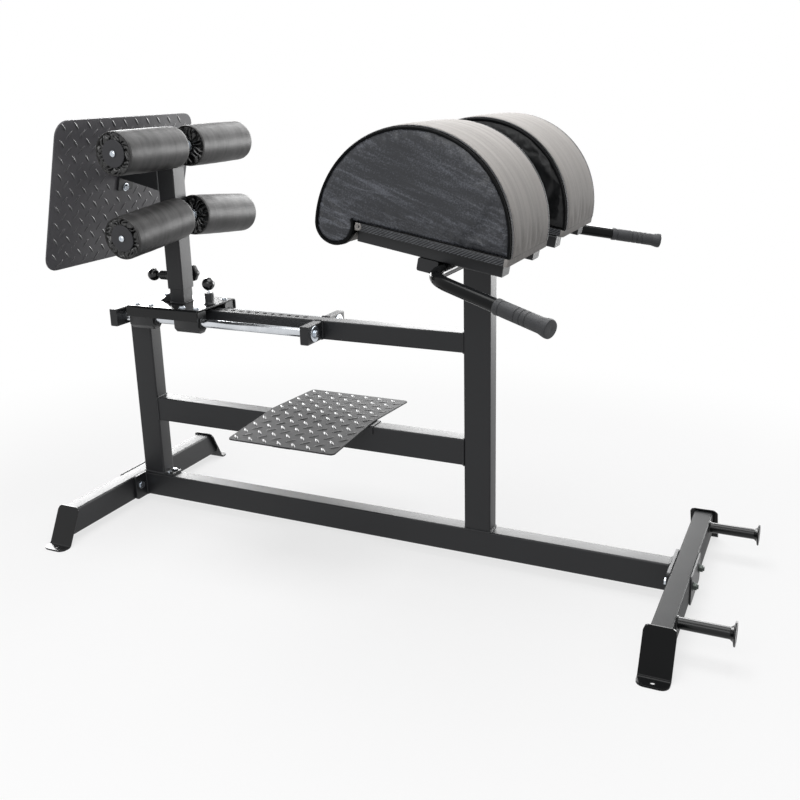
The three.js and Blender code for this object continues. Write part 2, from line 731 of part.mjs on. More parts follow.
// Clamp knob on the far side: a lobed grip on a screw that presses on the post.
function clampKnob() {
  const lobes = new THREE.Shape();
  const points = knob.lobes * 2 * arcSteps;
  for (let i = 0; i < points; i += 1) {
    const angle = (2 * Math.PI * i) / points;
    const reach = knob.radius + (knob.lobe / 2) * (Math.cos(knob.lobes * angle) - 1);
    const [x, y] = [reach * Math.cos(angle), reach * Math.sin(angle)];
    if (i === 0) {
      lobes.moveTo(x, y);
    } else {
      lobes.lineTo(x, y);
    }
  }
  const face = mast.size / 2 + knob.stemOut;
  const grip = extrude(lobes, 'y', face, face + knob.thick);
  const hub = bar(knob.hub, 'y', face - knob.thick / 2, face + knob.thick / 2);
  const stem = bar(knob.stem, 'y', mast.post / 2 + clearance, face + knob.thick / 2, [0, 0], smallSides);
  return join(grip, hub, stem);
}
piece('clamp_knob', clampKnob(), blackPlastic()).position.set(mast.x, 0, mast.pinZ);

// Ankle rollers

const rollerEnd = rollerInner + roller.long;

// A padded roller along +Y, measured from the mast's middle, with a cap in its outer end.
function ankleRoller() {
  const start = rollerInner;
  const end = rollerEnd;
  const rim = roller.radius - roller.shoulder;
  const innerRim = arc(rim, start + roller.shoulder, roller.shoulder, -Math.PI / 2, 0, arcSteps);
  const outerRim = arc(rim, end - roller.shoulder, roller.shoulder, 0, Math.PI / 2, arcSteps);
  const screwBore = roller.screw + clearance;
  const profile = [
    [roller.bore, start],
    ...innerRim,
    [roller.radius + roller.crown, (start + end) / 2],
    ...outerRim,
    [roller.cap + roller.groove / 2, end - roller.groove],
    [roller.cap, end],
    [screwBore, end],
    [screwBore, end - roller.capThick],
    [roller.bore, end - roller.capThick],
    [roller.bore, start],
  ];
  return turned(profile, rollerSides);
}

// Half an axle along +Y: bar, collar, and the screw that holds the roller's cap.
function axleHalf() {
  const stop = rollerEnd - roller.capThick - clearance;
  const face = rollerEnd + clearance;
  const collarEnd = rollerInner - clearance;
  const profile = [
    [0, -roller.axle / 2],
    [roller.axle, -roller.axle / 2],
    [roller.axle, collarEnd - roller.collarThick],
    [roller.collar, collarEnd - roller.collarThick],
    [roller.collar, collarEnd],
    [roller.axle, collarEnd],
    [roller.axle, stop],
    [roller.screw, stop],
    [roller.screw, face],
    [roller.screwHead, face],
    [roller.screwHead * Math.SQRT1_2, face + roller.screw],
    [0, face + roller.screw],
  ];
  return turned(profile);
}

// An axle of two halves that droop outwards by an angle.
function rollerAxle(droop) {
  const far = solid(axleHalf().rotateX(-droop));
  return far.add(far.mirror([0, 1, 0]));
}

for (const [word, z, droop] of [['upper', upperZ, 0], ['lower', lowerZ, roller.droop]]) {
  piece(`${word}_roller_axle`, rollerAxle(droop), zinc()).position.set(axleX, 0, z);
  for (const [end, side] of sides) {
    const sleeve = piece(`${word}_roller_${end}`, ankleRoller(), blackVinyl());
    sleeve.position.set(axleX, 0, z);
    sleeve.rotation.x = side > 0 ? -droop : Math.PI + droop;
  }
}

// Foot plate and its arm

const platePlace = new THREE.Matrix4().makeRotationY(plate.lean).setPosition(plate.x, 0, plateZ);

function footTread() {
  const half = plate.wide / 2;
  const outer = roundedRect(-half, half, -plate.below, plate.above, plate.corner);
  const sheet = extrude(outer, 'x', -plate.thick, 0, fineCornerSteps);
  const bores = [plate.boltHigh, plate.boltLow].map((z) =>
    bar(carriage.boltRadius + boltEase, 'x', -overrun, overrun, [0, z], smallSides));
  return cut(sheet, ...bores);
}
const leaning = new THREE.Group();
leaning.applyMatrix4(platePlace);
machine.add(leaning);
piece('foot_plate', footTread(), treadCoat(), leaning);

// The arm is a tapered channel, open below, with a mounting pad and its two bolts.
function footPlateArm() {
  const rear = clearance + plate.padThick / 2;
  const tip = (rise) => [plate.x + rise * Math.tan(plate.lean) + rear / Math.cos(plate.lean), plateZ + rise];
  const end = mastRear - seam;
  const side = (drop, reach) => outline([
    tip(armRise.bottomAtPlate - reach),
    [end + reach, plateZ + armRise.bottomAtMast - reach],
    [end + reach, plateZ + armRise.topAtMast - drop],
    tip(armRise.topAtPlate - drop),
  ]);
  const half = plate.armWide / 2;
  const outer = extrude(side(0, 0), 'y', -half, half);
  const inner = extrude(side(plate.armWall, overrun), 'y', -half + plate.armWall, half - plate.armWall);
  const padHalf = plate.padWide / 2;
  const mount = extrude(
    roundedRect(-padHalf, padHalf, -plate.padBelow, plate.padAbove, tube.corner),
    'x', clearance, clearance + plate.padThick).applyMatrix4(platePlace);
  const bolts = [plate.boltHigh, plate.boltLow].flatMap((z) => {
    const front = clearance + plate.padThick;
    const back = -plate.thick - clearance;
    return [
      bar(carriage.boltRadius, 'x', back - carriage.boltHead / 2, front, [0, z], smallSides),
      bar(carriage.boltHex, 'x', front - clearance, front + carriage.boltHead, [0, z], 6),
      bar(carriage.boltHex, 'x', back - carriage.boltHead, back, [0, z], 6),
    ].map((geometry) => geometry.applyMatrix4(platePlace));
  });
  const channel = cut(outer, inner);
  return [mount, ...bolts].reduce((body, extra) => body.add(solid(extra)), channel);
}
piece('foot_plate_arm', footPlateArm(), blackCoat());

// Pad deck

const deckGroup = new THREE.Group();
deckGroup.applyMatrix4(deckPlace);
machine.add(deckGroup);

const lobeSink = pad.lobeDrop - pad.drop;
const lobeX = -Math.sqrt((pad.radius - pad.lobe) ** 2 - lobeSink ** 2);
const lobeAngle = Math.PI + Math.atan2(lobeSink, -lobeX);

// The pad's side outline, drawn in by an inset: dome, rear lobe, and flat underside.
function padOutline(inset) {
  const base = Math.max(0, inset - pad.edge);
  const small = pad.lobe - inset;
  const big = pad.radius - inset;
  const rise = Math.asin((pad.lobeDrop + base) / small);
  const first = Math.asin((pad.drop + base) / big);
  const dome = arc(0, -pad.drop, big, first, lobeAngle, domeSteps);
  const lobe = arc(lobeX, -pad.lobeDrop, small, lobeAngle, 2 * Math.PI + rise, lobeSteps).slice(1);
  const start = lobe[lobe.length - 1][0];
  const end = dome[0][0];
  const under = Array.from({ length: arcSteps - 1 }, (_, i) =>
    [start + ((end - start) * (i + 1)) / arcSteps, base]);
  return [...dome, ...lobe, ...under];
}

// A pad is that outline carried across its width, crowned in the middle, with the side
// panels tucked in along their seam and filled out towards their middle.
function padBody() {
  const half = pad.wide / 2;
  const sideStations = [
    [half + pad.panelOut, pad.edge + pad.panelIn],
    [half - pad.tuck, pad.edge + pad.tuckIn],
    [half, pad.edge],
    [half - pad.edge / 2, pad.edge / 3],
    [half - 2 * pad.edge, 0],
    [half / 2, -pad.crown * 0.75],
  ];
  const stations = [
    ...sideStations.map(([y, inset]) => [-y, inset]),
    [0, -pad.crown],
    ...sideStations.slice().reverse(),
  ];
  const rings = stations.map(([y, inset]) => ({ y, points: padOutline(inset) }));
  const count = rings[0].points.length;
  const positions = rings.flatMap(({ y, points }) => points.flatMap(([x, z]) => [x, y, z]));
  const index = [];
  for (let r = 0; r + 1 < rings.length; r += 1) {
    for (let i = 0; i < count; i += 1) {
      const a = r * count + i;
      const b = r * count + ((i + 1) % count);
      index.push(a, a + count, b, b, a + count, b + count);
    }
  }
  const caps = [[0, false], [rings.length - 1, true]];
  for (const [ring, last] of caps) {
    const flat = rings[ring].points.map(([x, z]) => new THREE.Vector2(x, z));
    for (const [a, b, c] of THREE.ShapeUtils.triangulateShape(flat, [])) {
      const corner = [a, b, c].map((i) => ring * count + i);
      index.push(...(last ? corner.reverse() : corner));
    }
  }
  const geometry = new THREE.BufferGeometry();
  geometry.setAttribute('position', new THREE.Float32BufferAttribute(positions, 3));
  geometry.setIndex(index);
  geometry.computeVertexNormals();
  return geometry;
}

const boardRear = lobeX + pad.lobe + pad.crown + board.lobeGap;
const boardFront = pad.radius - board.frontIn;
const carrierTop = -board.thick - clearance;
const carrierRear = boardRear;

// A carrier tube along the slope, closed at its front end.
function padCarrier() {
  const half = carrier.wide / 2;
  const low = carrierTop - carrier.tall;
  const outer = extrude(roundedRect(-half, half, low, carrierTop, carrier.corner),
    'x', carrierRear, carrier.front);
  const inner = extrude(
    roundedRect(-half + carrier.wall, half - carrier.wall, low + carrier.wall,
      carrierTop - carrier.wall, carrier.corner / 2),
    'x', carrierRear - overrun, carrier.front - carrier.wall);
  return cut(outer, inner);
}

// The cross beam under the carriers, closed at both ends, with a drain hole below.
function crossBeam() {
  const rear = beam.front - beam.deep;
  const long = beam.halfLong;
  const outer = extrude(roundedRect(rear, beam.front, beamBottom, beamTop, beam.corner), 'y', -long, long);
  const inner = extrude(
    roundedRect(rear + beam.wall, beam.front - beam.wall, beamBottom + beam.wall,
      beamTop - beam.wall, beam.corner / 2),
    'y', -long + beam.wall, long - beam.wall);
  const drain = bar(beam.vent, 'z', beamBottom - overrun, beamTop - beam.tall / 2,
    [rear + beam.deep / 2, long / 2], smallSides);
  return cut(outer, inner, drain);
}
piece('pad_cross_beam', crossBeam(), blackCoat(), deckGroup);

// The handlebar is one bent tube. Its arms splay out from a corner beside each pad.
const handleX = beam.front + clearance + handle.radius;
const handleZ = beamTop - handle.radius;
const armWay = (side) =>
  new THREE.Vector3(Math.cos(handle.splay), side * Math.sin(handle.splay), 0);
const handleCorner = (side) => new THREE.Vector3(handleX, side * handle.corner, handleZ);
const armPoint = (side, along) => handleCorner(side).addScaledVector(armWay(side), along);
const tubeEnd = handle.arm - handle.gripFloor - clearance;

function handlebar() {
  const path = new THREE.CurvePath();
  const inward = (side) => handleCorner(side).add(new THREE.Vector3(0, -side * handle.bend, 0));
  path.add(new THREE.LineCurve3(armPoint(-1, tubeEnd), armPoint(-1, handle.bend)));
  path.add(new THREE.QuadraticBezierCurve3(armPoint(-1, handle.bend), handleCorner(-1), inward(-1)));
  path.add(new THREE.LineCurve3(inward(-1), inward(1)));
  path.add(new THREE.QuadraticBezierCurve3(inward(1), handleCorner(1), armPoint(1, handle.bend)));
  path.add(new THREE.LineCurve3(armPoint(1, handle.bend), armPoint(1, tubeEnd)));
  const circle = new THREE.Shape();
  circle.absarc(0, 0, handle.radius, 0, 2 * Math.PI);
  const settings = { extrudePath: path, steps: pathSteps, curveSegments: smallSides / 2 };
  return new THREE.ExtrudeGeometry(circle, settings);
}
piece('handlebar', handlebar(), blackCoat(), deckGroup);

// A grip over the arm's end, with ring grooves and a flared closed end.
function handGrip() {
  const end = handle.gripLong;
  const bore = handle.radius + clearance;
  const grooves = grooveShares.flatMap((share) => {
    const from = share * end;
    const low = handle.gripRadius - handle.groove;
    return [
      [handle.gripRadius, from],
      [low, from],
      [low, from + handle.grooveWide],
      [handle.gripRadius, from + handle.grooveWide],
    ];
  });
  const profile = [
    [bore, 0],
    [handle.gripRadius, 0],
    ...grooves,
    [handle.gripRadius, end - 2 * handle.flare],
    [handle.gripEnd, end - handle.flare / 2],
    [handle.gripEnd - handle.groove, end],
    [0, end],
    [0, end - handle.gripFloor],
    [bore, end - handle.gripFloor],
    [bore, 0],
  ];
  return turned(profile);
}

for (const [word, side] of sides) {
  const middle = side * (pad.inner + pad.wide / 2);
  piece(`pad_${word}`, padBody(), greyVinyl(), deckGroup).position.set(0, middle, clearance);
  const sheet = roundedRect(
    boardRear, boardFront, -pad.wide / 2, pad.wide / 2, tube.corner);
  piece(`pad_board_${word}`, extrude(sheet, 'z', -board.thick, 0), rubber(), deckGroup)
    .position.y = middle;
  for (const [row, spread] of [['outer', carrier.outer], ['inner', carrier.inner]]) {
    piece(`pad_carrier_${word}_${row}`, padCarrier(), blackCoat(), deckGroup)
      .position.y = side * spread;
  }
  const grip = piece(`hand_grip_${word}`, handGrip(), rubber(), deckGroup);
  grip.position.copy(armPoint(side, handle.arm - handle.gripLong));
  grip.rotation.z = side > 0 ? handle.splay - Math.PI / 2 : -handle.splay - Math.PI / 2;
}

// The origin is on the floor, under the middle of the whole object.
const rearmost = -(flange.thick + tube.wide + backPlate.thick + seam + bolt.nut + bolt.tail);
const foremost = barFace + seam + peg.long;
machine.position.x = -(rearmost + foremost) / 2;

export default machine;
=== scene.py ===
import json
import logging
import math
from dataclasses import dataclass, field, replace
from enum import Enum
from typing import Any, Callable, Sequence

import bmesh
import bpy
import numpy as np
from mathutils import Matrix, Vector
from mathutils.geometry import delaunay_2d_cdt


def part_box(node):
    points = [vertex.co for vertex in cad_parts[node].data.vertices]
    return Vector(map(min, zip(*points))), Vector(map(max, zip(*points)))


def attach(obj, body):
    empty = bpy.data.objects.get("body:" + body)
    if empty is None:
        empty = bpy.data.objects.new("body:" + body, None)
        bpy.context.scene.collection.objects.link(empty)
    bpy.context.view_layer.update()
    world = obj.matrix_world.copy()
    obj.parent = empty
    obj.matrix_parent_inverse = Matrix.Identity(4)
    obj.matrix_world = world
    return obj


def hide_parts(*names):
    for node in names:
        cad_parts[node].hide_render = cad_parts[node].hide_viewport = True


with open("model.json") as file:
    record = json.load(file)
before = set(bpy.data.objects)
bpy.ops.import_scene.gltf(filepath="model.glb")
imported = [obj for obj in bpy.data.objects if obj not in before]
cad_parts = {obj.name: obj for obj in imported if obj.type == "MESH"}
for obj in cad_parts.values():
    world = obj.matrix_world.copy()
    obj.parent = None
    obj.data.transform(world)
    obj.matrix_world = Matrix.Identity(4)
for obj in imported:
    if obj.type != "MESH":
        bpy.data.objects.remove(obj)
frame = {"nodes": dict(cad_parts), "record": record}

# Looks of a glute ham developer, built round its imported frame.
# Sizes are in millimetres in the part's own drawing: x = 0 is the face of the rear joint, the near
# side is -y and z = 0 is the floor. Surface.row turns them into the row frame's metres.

Array = np.ndarray
Triple = tuple[float, float, float]
Colour = Triple

LOG = logging.getLogger("glute_ham_developer")
METRE = 0.001
BASE_TUBE_START = 0.1
DRAWING_SHIFT = np.array([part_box("base_tube")[0].x / METRE - BASE_TUBE_START, 0.0, 0.0])
AXIS_X = np.array([1.0, 0.0, 0.0])
AXIS_Y = np.array([0.0, 1.0, 0.0])
AXIS_Z = np.array([0.0, 0.0, 1.0])
BODY_OF = {node: body for body, nodes in frame["record"]["behaviour"]["bodies"].items() for node in nodes}
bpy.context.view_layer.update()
BOTH_WAYS = (-1.0, 1.0)
WHITE = (1.0, 1.0, 1.0, 1.0)

# Vertices nearer than these merge, in metres: of built surfaces and of copies of CAD nodes.
MERGE = 2e-6
CAD_MERGE = 1e-5
# Angles in a copy of a CAD node: faces that turn less are joined, and edges that turn more are eased.
CAD_FLAT = math.radians(1.0)
CAD_EDGE = math.radians(60.0)
# How many steps Cloth runs, and its shrink factor, below zero because the vinyl has some slack.
CLOTH_STEPS = 20
CLOTH_SHRINK = -0.03
# The largest share of a side that a rounded corner takes, and the gap in millimetres at a seat.
LARGEST_REACH = 0.45
SEAT_GAP = 0.3


class Slot(Enum):
    """The record's material slots."""

    BLACK_COAT = "black_coat"
    TREAD_PLATE = "tread_plate"
    CHROME = "chrome"
    ZINC = "zinc"
    BLACK_PLASTIC = "black_plastic"
    ROLLER_VINYL = "roller_vinyl"
    PAD_VINYL = "pad_vinyl"
    PAD_BOARD = "pad_board"
    GRIP_RUBBER = "grip_rubber"


class Side(Enum):
    """The two sides of the machine, with the sign of y on each."""

    NEAR = -1
    FAR = 1

    @property
    def word(self) -> str:
        """The side's word in the names of nodes."""
        return self.name.lower()


# Surfaces


@dataclass
class Surface:
    """A mesh in the making: points in drawing millimetres and faces of four corners each.

    A triangle repeats its third corner.
    """

    points: Array
    faces: Array

    def moved(self, matrix: Array) -> "Surface":
        """The surface carried by a 4 x 4 matrix."""
        return Surface(self.points @ matrix[:3, :3].T + matrix[:3, 3], self.faces)

    def scattered(self, places: Array) -> "Surface":
        """Copies of the surface, one for each place.

        Point j of copy i is place i times point j.

        Args:
            places: 4 x 4 matrices, stacked.

        Returns:
            All copies as one surface.
        """
        points = np.einsum("kab,nb->kna", places[:, :3, :3], self.points) + places[:, None, :3, 3]
        steps = (np.arange(len(places)) * len(self.points))[:, None, None]
        return Surface(points.reshape(-1, 3), (self.faces[None] + steps).reshape(-1, 4))

    def row(self) -> Array:
        """The points in the row frame, in metres."""
        return (self.points + DRAWING_SHIFT) * METRE


def joined(*parts: Surface) -> Surface:
    """Several surfaces as one.

    Args:
        parts: the surfaces.

    Returns:
        One surface, with their faces in the same order.
    """
    starts = np.cumsum([0] + [len(part.points) for part in parts[:-1]])
    faces = np.concatenate([part.faces + start for part, start in zip(parts, starts)])
    return Surface(np.concatenate([part.points for part in parts]), faces)


def angles(count: int) -> Array:
    """Even angles round a full turn, from 0."""
    return np.arange(count) * 2 * math.pi / count


def around(radius: Array, angle: Array, height: Array) -> Array:
    """Points (radius x cos angle, radius x sin angle, height) about the local z axis."""
    return np.stack([radius * np.cos(angle), radius * np.sin(angle), height + 0 * angle], axis=-1)


def level(flat: Array, height: float) -> Array:
    """A flat line at one height."""
    return np.column_stack([flat, np.full(len(flat), height)])


def gaps(first: Array, second: Array) -> Array:
    """The distance from each point of one set to each point of another."""
    return np.sqrt(((first[:, None] - second[None]) ** 2).sum(-1))


def frames(along: Array, beside: Array, out: Array, at: Array) -> Array:
    """Stacked 4 x 4 matrices, from their three axes and their places.

    Args:
        along: local x of each.
        beside: local y of each.
        out: local z of each.
        at: place of each.

    Returns:
        The matrices.
    """
    places = np.zeros((len(at), 4, 4))
    for column, values in enumerate((along, beside, out, at)):
        places[:, :3, column] = values
    places[:, 3, 3] = 1.0
    return places


def loft(rings: Array, hoop: bool = False) -> Surface:
    """A skin over closed rings.

    Face (i, j) joins neighbours j and j + 1 of rings i and i + 1. Unless the rings close on
    themselves as a hoop, each end is closed by a ring that is drawn to its own middle.

    Args:
        rings: points of shape (rings, points, 3).
        hoop: whether the last ring joins the first.

    Returns:
        The closed surface.
    """
    if hoop:
        rings = np.concatenate([rings, rings[:1]])
    else:
        ends = [np.broadcast_to(ring.mean(0), ring.shape)[None] for ring in (rings[0], rings[-1])]
        rings = np.concatenate([ends[0], rings, ends[1]])
    index = np.arange(rings.shape[0] * rings.shape[1]).reshape(rings.shape[:2])
    beside = np.roll(index, -1, axis=1)
    faces = np.stack([index[:-1], beside[:-1], beside[1:], index[1:]], axis=-1)
    return Surface(rings.reshape(-1, 3), faces.reshape(-1, 4))


def softened(corners: Array, radius: float, steps: int = 3, closed: bool = False) -> Array:
    """A line through corners, with each corner rounded.

    A corner c becomes (1 - s)^2 a + 2 s (1 - s) c + s^2 b, where a and b lie a radius away
    from it along its two sides, and at most 0.45 of a side away.

    Args:
        corners: points of shape (corners, dimensions).
        radius: how far the rounding reaches.
        steps: spans of each rounding.
        closed: whether the line returns to its start.

    Returns:
        The points of the rounded line.
    """
    before = np.roll(corners, 1, axis=0) - corners
    after = np.roll(corners, -1, axis=0) - corners
    reach = [reach_share(way, radius) for way in (before, after)]
    a, b = corners + before * reach[0], corners + after * reach[1]
    s = np.linspace(0.0, 1.0, steps + 1)[None, :, None]
    curves = (1 - s) ** 2 * a[:, None] + 2 * s * (1 - s) * corners[:, None] + s**2 * b[:, None]
    if closed:
        return curves.reshape(-1, corners.shape[1])
    inside = curves[1:-1].reshape(-1, corners.shape[1])
    return np.concatenate([corners[:1], inside, corners[-1:]])


def both(make: Callable[[float], Surface]) -> Surface:
    """What a maker gives for -1 and for 1, as one surface."""
    return joined(*(make(way) for way in BOTH_WAYS))


def reach_share(ways: Array, radius: float) -> Array:
    """The share of each way that a rounding of some radius takes, at most 0.45."""
    return np.minimum(radius / np.maximum(np.linalg.norm(ways, axis=1, keepdims=True), 1e-9), LARGEST_REACH)


def turned(profile: Array, sides: int = 48, hoop: bool = False) -> Surface:
    """A profile of radius and height turned about the local z axis.

    Point (i, a) is (radius i x cos a, radius i x sin a, height i).
    """
    return loft(around(profile[:, :1], angles(sides), profile[:, 1:]), hoop)


def rounded_rect(left: float, right: float, low: float, high: float, radius: float,
                 steps: int = 4) -> Array:
    """The corners of a rectangle with round corners, as a closed line in two dimensions."""
    corners = np.array([[left, low], [right, low], [right, high], [left, high]])
    return softened(corners, radius, steps, closed=True)


def hexagon(radius: float) -> Array:
    """A hexagon of some corner radius, with its corners just eased."""
    return softened(circle(radius, 6), radius / 12, 2, closed=True)


def stacked(section: Array, stations: Sequence[tuple[float, float]]) -> Surface:
    """A flat section carried along the local z axis.

    Ring i is the section times the station's scale, at the station's height.

    Args:
        section: a closed line in two dimensions.
        stations: pairs of scale and height.

    Returns:
        The closed surface.
    """
    scale, height = np.array(stations, float).T
    rings = np.empty((len(scale), len(section), 3))
    rings[..., :2] = section[None] * scale[:, None, None]
    rings[..., 2] = height[:, None]
    return loft(rings)


def swept(path: Array, section: Array, up: Array, closed: bool = False,
          scale: Array | None = None) -> Surface:
    """A section carried along a path.

    Ring i is path i + u x side + v x lift, where side is up x tangent and lift is tangent x side.

    Args:
        path: points of shape (points, 3).
        section: pairs u and v, a closed line.
        up: a direction, or one for each point, that is never along the path.
        closed: whether the path returns to its start.
        scale: how large the section is at each point.

    Returns:
        The closed surface.
    """
    tangent = np.roll(path, -1, axis=0) - np.roll(path, 1, axis=0) if closed else np.gradient(path, axis=0)
    tangent = unit(tangent)
    side = unit(np.cross(np.broadcast_to(up, path.shape), tangent))
    lift = np.cross(tangent, side)
    size = np.ones(len(path)) if scale is None else scale
    flat = section[None] * size[:, None, None]
    rings = path[:, None] + flat[..., :1] * side[:, None] + flat[..., 1:] * lift[:, None]
    return loft(rings, hoop=closed)


def unit(ways: Array) -> Array:
    """Ways scaled to a length of one."""
    return ways / np.maximum(np.linalg.norm(ways, axis=-1, keepdims=True), 1e-12)


def circle(radius: float, sides: int) -> Array:
    """A circle as a closed line of straight sides."""
    angle = angles(sides)
    return radius * np.stack([np.cos(angle), np.sin(angle)], axis=1)


def resampled(path: Array, spacing: float, closed: bool = False) -> Array:
    """A line with points at even steps along its length.

    Args:
        path: the line's points.
        spacing: about how far apart the new points lie.
        closed: whether the line returns to its start.

    Returns:
        The new points.
    """
    line = np.concatenate([path, path[:1]]) if closed else path
    along = np.concatenate([[0.0], np.cumsum(np.linalg.norm(np.diff(line, axis=0), axis=1))])
    count = max(3, round(along[-1] / spacing))
    at = np.linspace(0.0, along[-1], count + 1)[: count if closed else count + 1]
    return np.stack([np.interp(at, along, line[:, k]) for k in range(line.shape[1])], axis=1)


def turn(axis: Array, angle: float) -> Array:
    """A 4 x 4 matrix that turns about an axis through the origin."""
    return np.array(Matrix.Rotation(angle, 4, Vector(axis)))


def shift(x: float, y: float, z: float) -> Array:
    """A 4 x 4 matrix that moves."""
    return np.array(Matrix.Translation((x, y, z)))


def aimed(origin: Sequence[float], way: Array, beside: Array = AXIS_Y) -> Array:
    """A 4 x 4 matrix that takes local z to a way from an origin, with local y near another way.

    Args:
        origin: where the local origin goes.
        way: where local z goes.
        beside: the way near which local y goes.

    Returns:
        The matrix.
    """
    z = unit(np.asarray(way, float))
    x = unit(np.cross(np.asarray(beside, float), z))
    matrix = np.eye(4)
    matrix[:3, 0], matrix[:3, 1], matrix[:3, 2], matrix[:3, 3] = x, np.cross(z, x), z, origin
    return matrix


def ripple(u: Array, v: Array, pitch: float, seed: int, octaves: int = 3) -> Array:
    """A smooth uneven height over two coordinates, between about -1 and 1.

    It is a sum of waves sin(k . (u, v) + phase), whose ways and phases come from a seed and
    whose pitch halves from one octave to the next as their height does.

    Args:
        u: first coordinate.
        v: second coordinate.
        pitch: length of the longest waves.
        seed: number that fixes the waves.
        octaves: how often the pitch is halved.

    Returns:
        The height at each place.
    """
    random = np.random.default_rng(seed)
    height = np.zeros(np.broadcast(u, v).shape)
    for octave in range(octaves):
        for angle, phase in random.uniform(0, 2 * math.pi, (4, 2)):
            k = 2 * math.pi / (pitch / 2**octave)
            height += np.sin(k * (u * np.cos(angle) + v * np.sin(angle)) + phase) / 2**octave
    return height / 5


# Materials


class Signal:
    """A socket's value, which Python expressions combine through Math nodes."""

    def __init__(self, shader: "Shader", socket: bpy.types.NodeSocket) -> None:
        """Keeps the shader and the socket."""
        self.shader = shader
        self.socket = socket

    def _math(self, operation: str, *values: Any) -> "Signal":
        """A Math node over some values."""
        return self.shader.node("ShaderNodeMath", {"operation": operation}, dict(enumerate(values)))

    def __add__(self, other: Any) -> "Signal":
        """Sum."""
        return self._math("ADD", self, other)

    __radd__ = __add__

    def __mul__(self, other: Any) -> "Signal":
        """Product."""
        return self._math("MULTIPLY", self, other)

    __rmul__ = __mul__

    def __sub__(self, other: Any) -> "Signal":
        """Difference."""
        return self._math("SUBTRACT", self, other)

    def __rsub__(self, other: Any) -> "Signal":
        """Difference, reflected."""
        return self._math("SUBTRACT", other, self)

    def between(self, low: float, high: float) -> "Signal":
        """A smooth step from 0 at low to 1 at high."""
        values = {"Value": self, "From Min": low, "From Max": high}
        return self.shader.node("ShaderNodeMapRange", {"interpolation_type": "SMOOTHSTEP"}, values)


class Shader:
    """The nodes of one material."""

    def __init__(self, name: str, kind: Any = None) -> None:
        """Starts a material, or a world where its collection is given, with no nodes.

        Args:
            name: its name.
            kind: the collection, for a world.
        """
        self.material = (bpy.data.materials if kind is None else kind).new(name)
        self.material.use_nodes = True
        self.tree = self.material.node_tree
        self.tree.nodes.clear()

    def node(self, kind: str, settings: dict[str, Any] | None = None,
             values: dict[Any, Any] | None = None, output: Any = 0) -> Signal:
        """Makes a node.

        Args:
            kind: the node's type.
            settings: properties, which are set first.
            values: numbers, colours or signals for its inputs, by name or place.
            output: name or place of the output to return.

        Returns:
            The output as a signal.
        """
        node = self.tree.nodes.new(kind)
        for key, value in (settings or {}).items():
            setattr(node, key, value)
        for key, value in (values or {}).items():
            socket = node.inputs[key]
            if isinstance(value, Signal):
                self.tree.links.new(value.socket, socket)
            else:
                socket.default_value = value
        return Signal(self, node.outputs[output])

    def place(self, scale: Triple = (1.0, 1.0, 1.0), lean: Triple = (0.0, 0.0, 0.0)) -> Signal:
        """Object coordinates, turned by a lean and then scaled.

        Args:
            scale: factor on each axis.
            lean: angle about each axis.

        Returns:
            The coordinates.
        """
        at = self.node("ShaderNodeTexCoord", output="Object")
        rotated = self.node("ShaderNodeMapping", {"vector_type": "POINT"}, {"Vector": at, "Rotation": lean})
        return self.node("ShaderNodeVectorMath", {"operation": "MULTIPLY"}, {0: rotated, 1: scale})

    def noise(self, where: Signal, scale: float, detail: float = 3.0, rough: float = 0.55,
              warp: float = 0.0) -> Signal:
        """Even noise from 0 to 1."""
        values = {"Vector": where, "Scale": scale, "Detail": detail, "Roughness": rough, "Distortion": warp}
        return self.node("ShaderNodeTexNoise", {"noise_dimensions": "3D"}, values)

    def cells(self, where: Signal, scale: float) -> Signal:
        """Distance to the nearest of scattered points, as in a pebbled grain."""
        return self.node("ShaderNodeTexVoronoi", {"feature": "F1"}, {"Vector": where, "Scale": scale})

    def blend(self, factor: Any, first: Any, second: Any) -> Signal:
        """A colour between two colours."""
        values = {0: factor, 6: solid_colour(first), 7: solid_colour(second)}
        return self.node("ShaderNodeMix", {"data_type": "RGBA"}, values, 2)

    def bump(self, height: Signal, depth: float, under: Signal | None = None) -> Signal:
        """A normal from a height of some depth in millimetres.

        Args:
            height: the height, from 0 to 1.
            depth: millimetres between 0 and 1.
            under: a normal that this one is laid over.

        Returns:
            The normal.
        """
        values = {"Height": height, "Distance": depth * METRE, "Strength": 1.0}
        if under is not None:
            values["Normal"] = under
        return self.node("ShaderNodeBump", {}, values)

    def close(self, values: dict[str, Any]) -> bpy.types.Material:
        """Ends the material in a Principled shader with these values.

        Args:
            values: the shader's inputs.

        Returns:
            The material.
        """
        surface = self.node("ShaderNodeBsdfPrincipled", {}, values, "BSDF")
        self.node_output(surface)
        return self.material

    def seen(self) -> Signal:
        """1 for what the camera, a reflection or a view through glass sees, and 0 for light.

        Returns:
            The share.
        """
        camera, glossy, through = (self.node("ShaderNodeLightPath", output=f"Is {word} Ray")
                                   for word in ("Camera", "Glossy", "Transmission"))
        return (camera + glossy + through).between(0.0, 1.0)

    def node_output(self, surface: Signal, kind: str = "ShaderNodeOutputMaterial") -> None:
        """Links a surface to the output."""
        output = self.tree.nodes.new(kind)
        self.tree.links.new(surface.socket, output.inputs["Surface"])


def solid_colour(value: Any) -> Any:
    """A colour with its alpha, or a signal as it is."""
    return value if isinstance(value, Signal) else (*value, 1.0)


def srgb(red: int, green: int, blue: int) -> Colour:
    """A colour given by its screen values from 0 to 255.

    Args:
        red: its red value.
        green: its green value.
        blue: its blue value.

    Returns:
        The colour in linear light.
    """
    share = np.array([red, green, blue]) / 255.0
    linear = np.where(share <= 0.04045, share / 12.92, ((share + 0.055) / 1.055) ** 2.4)
    return tuple(float(v) for v in linear)


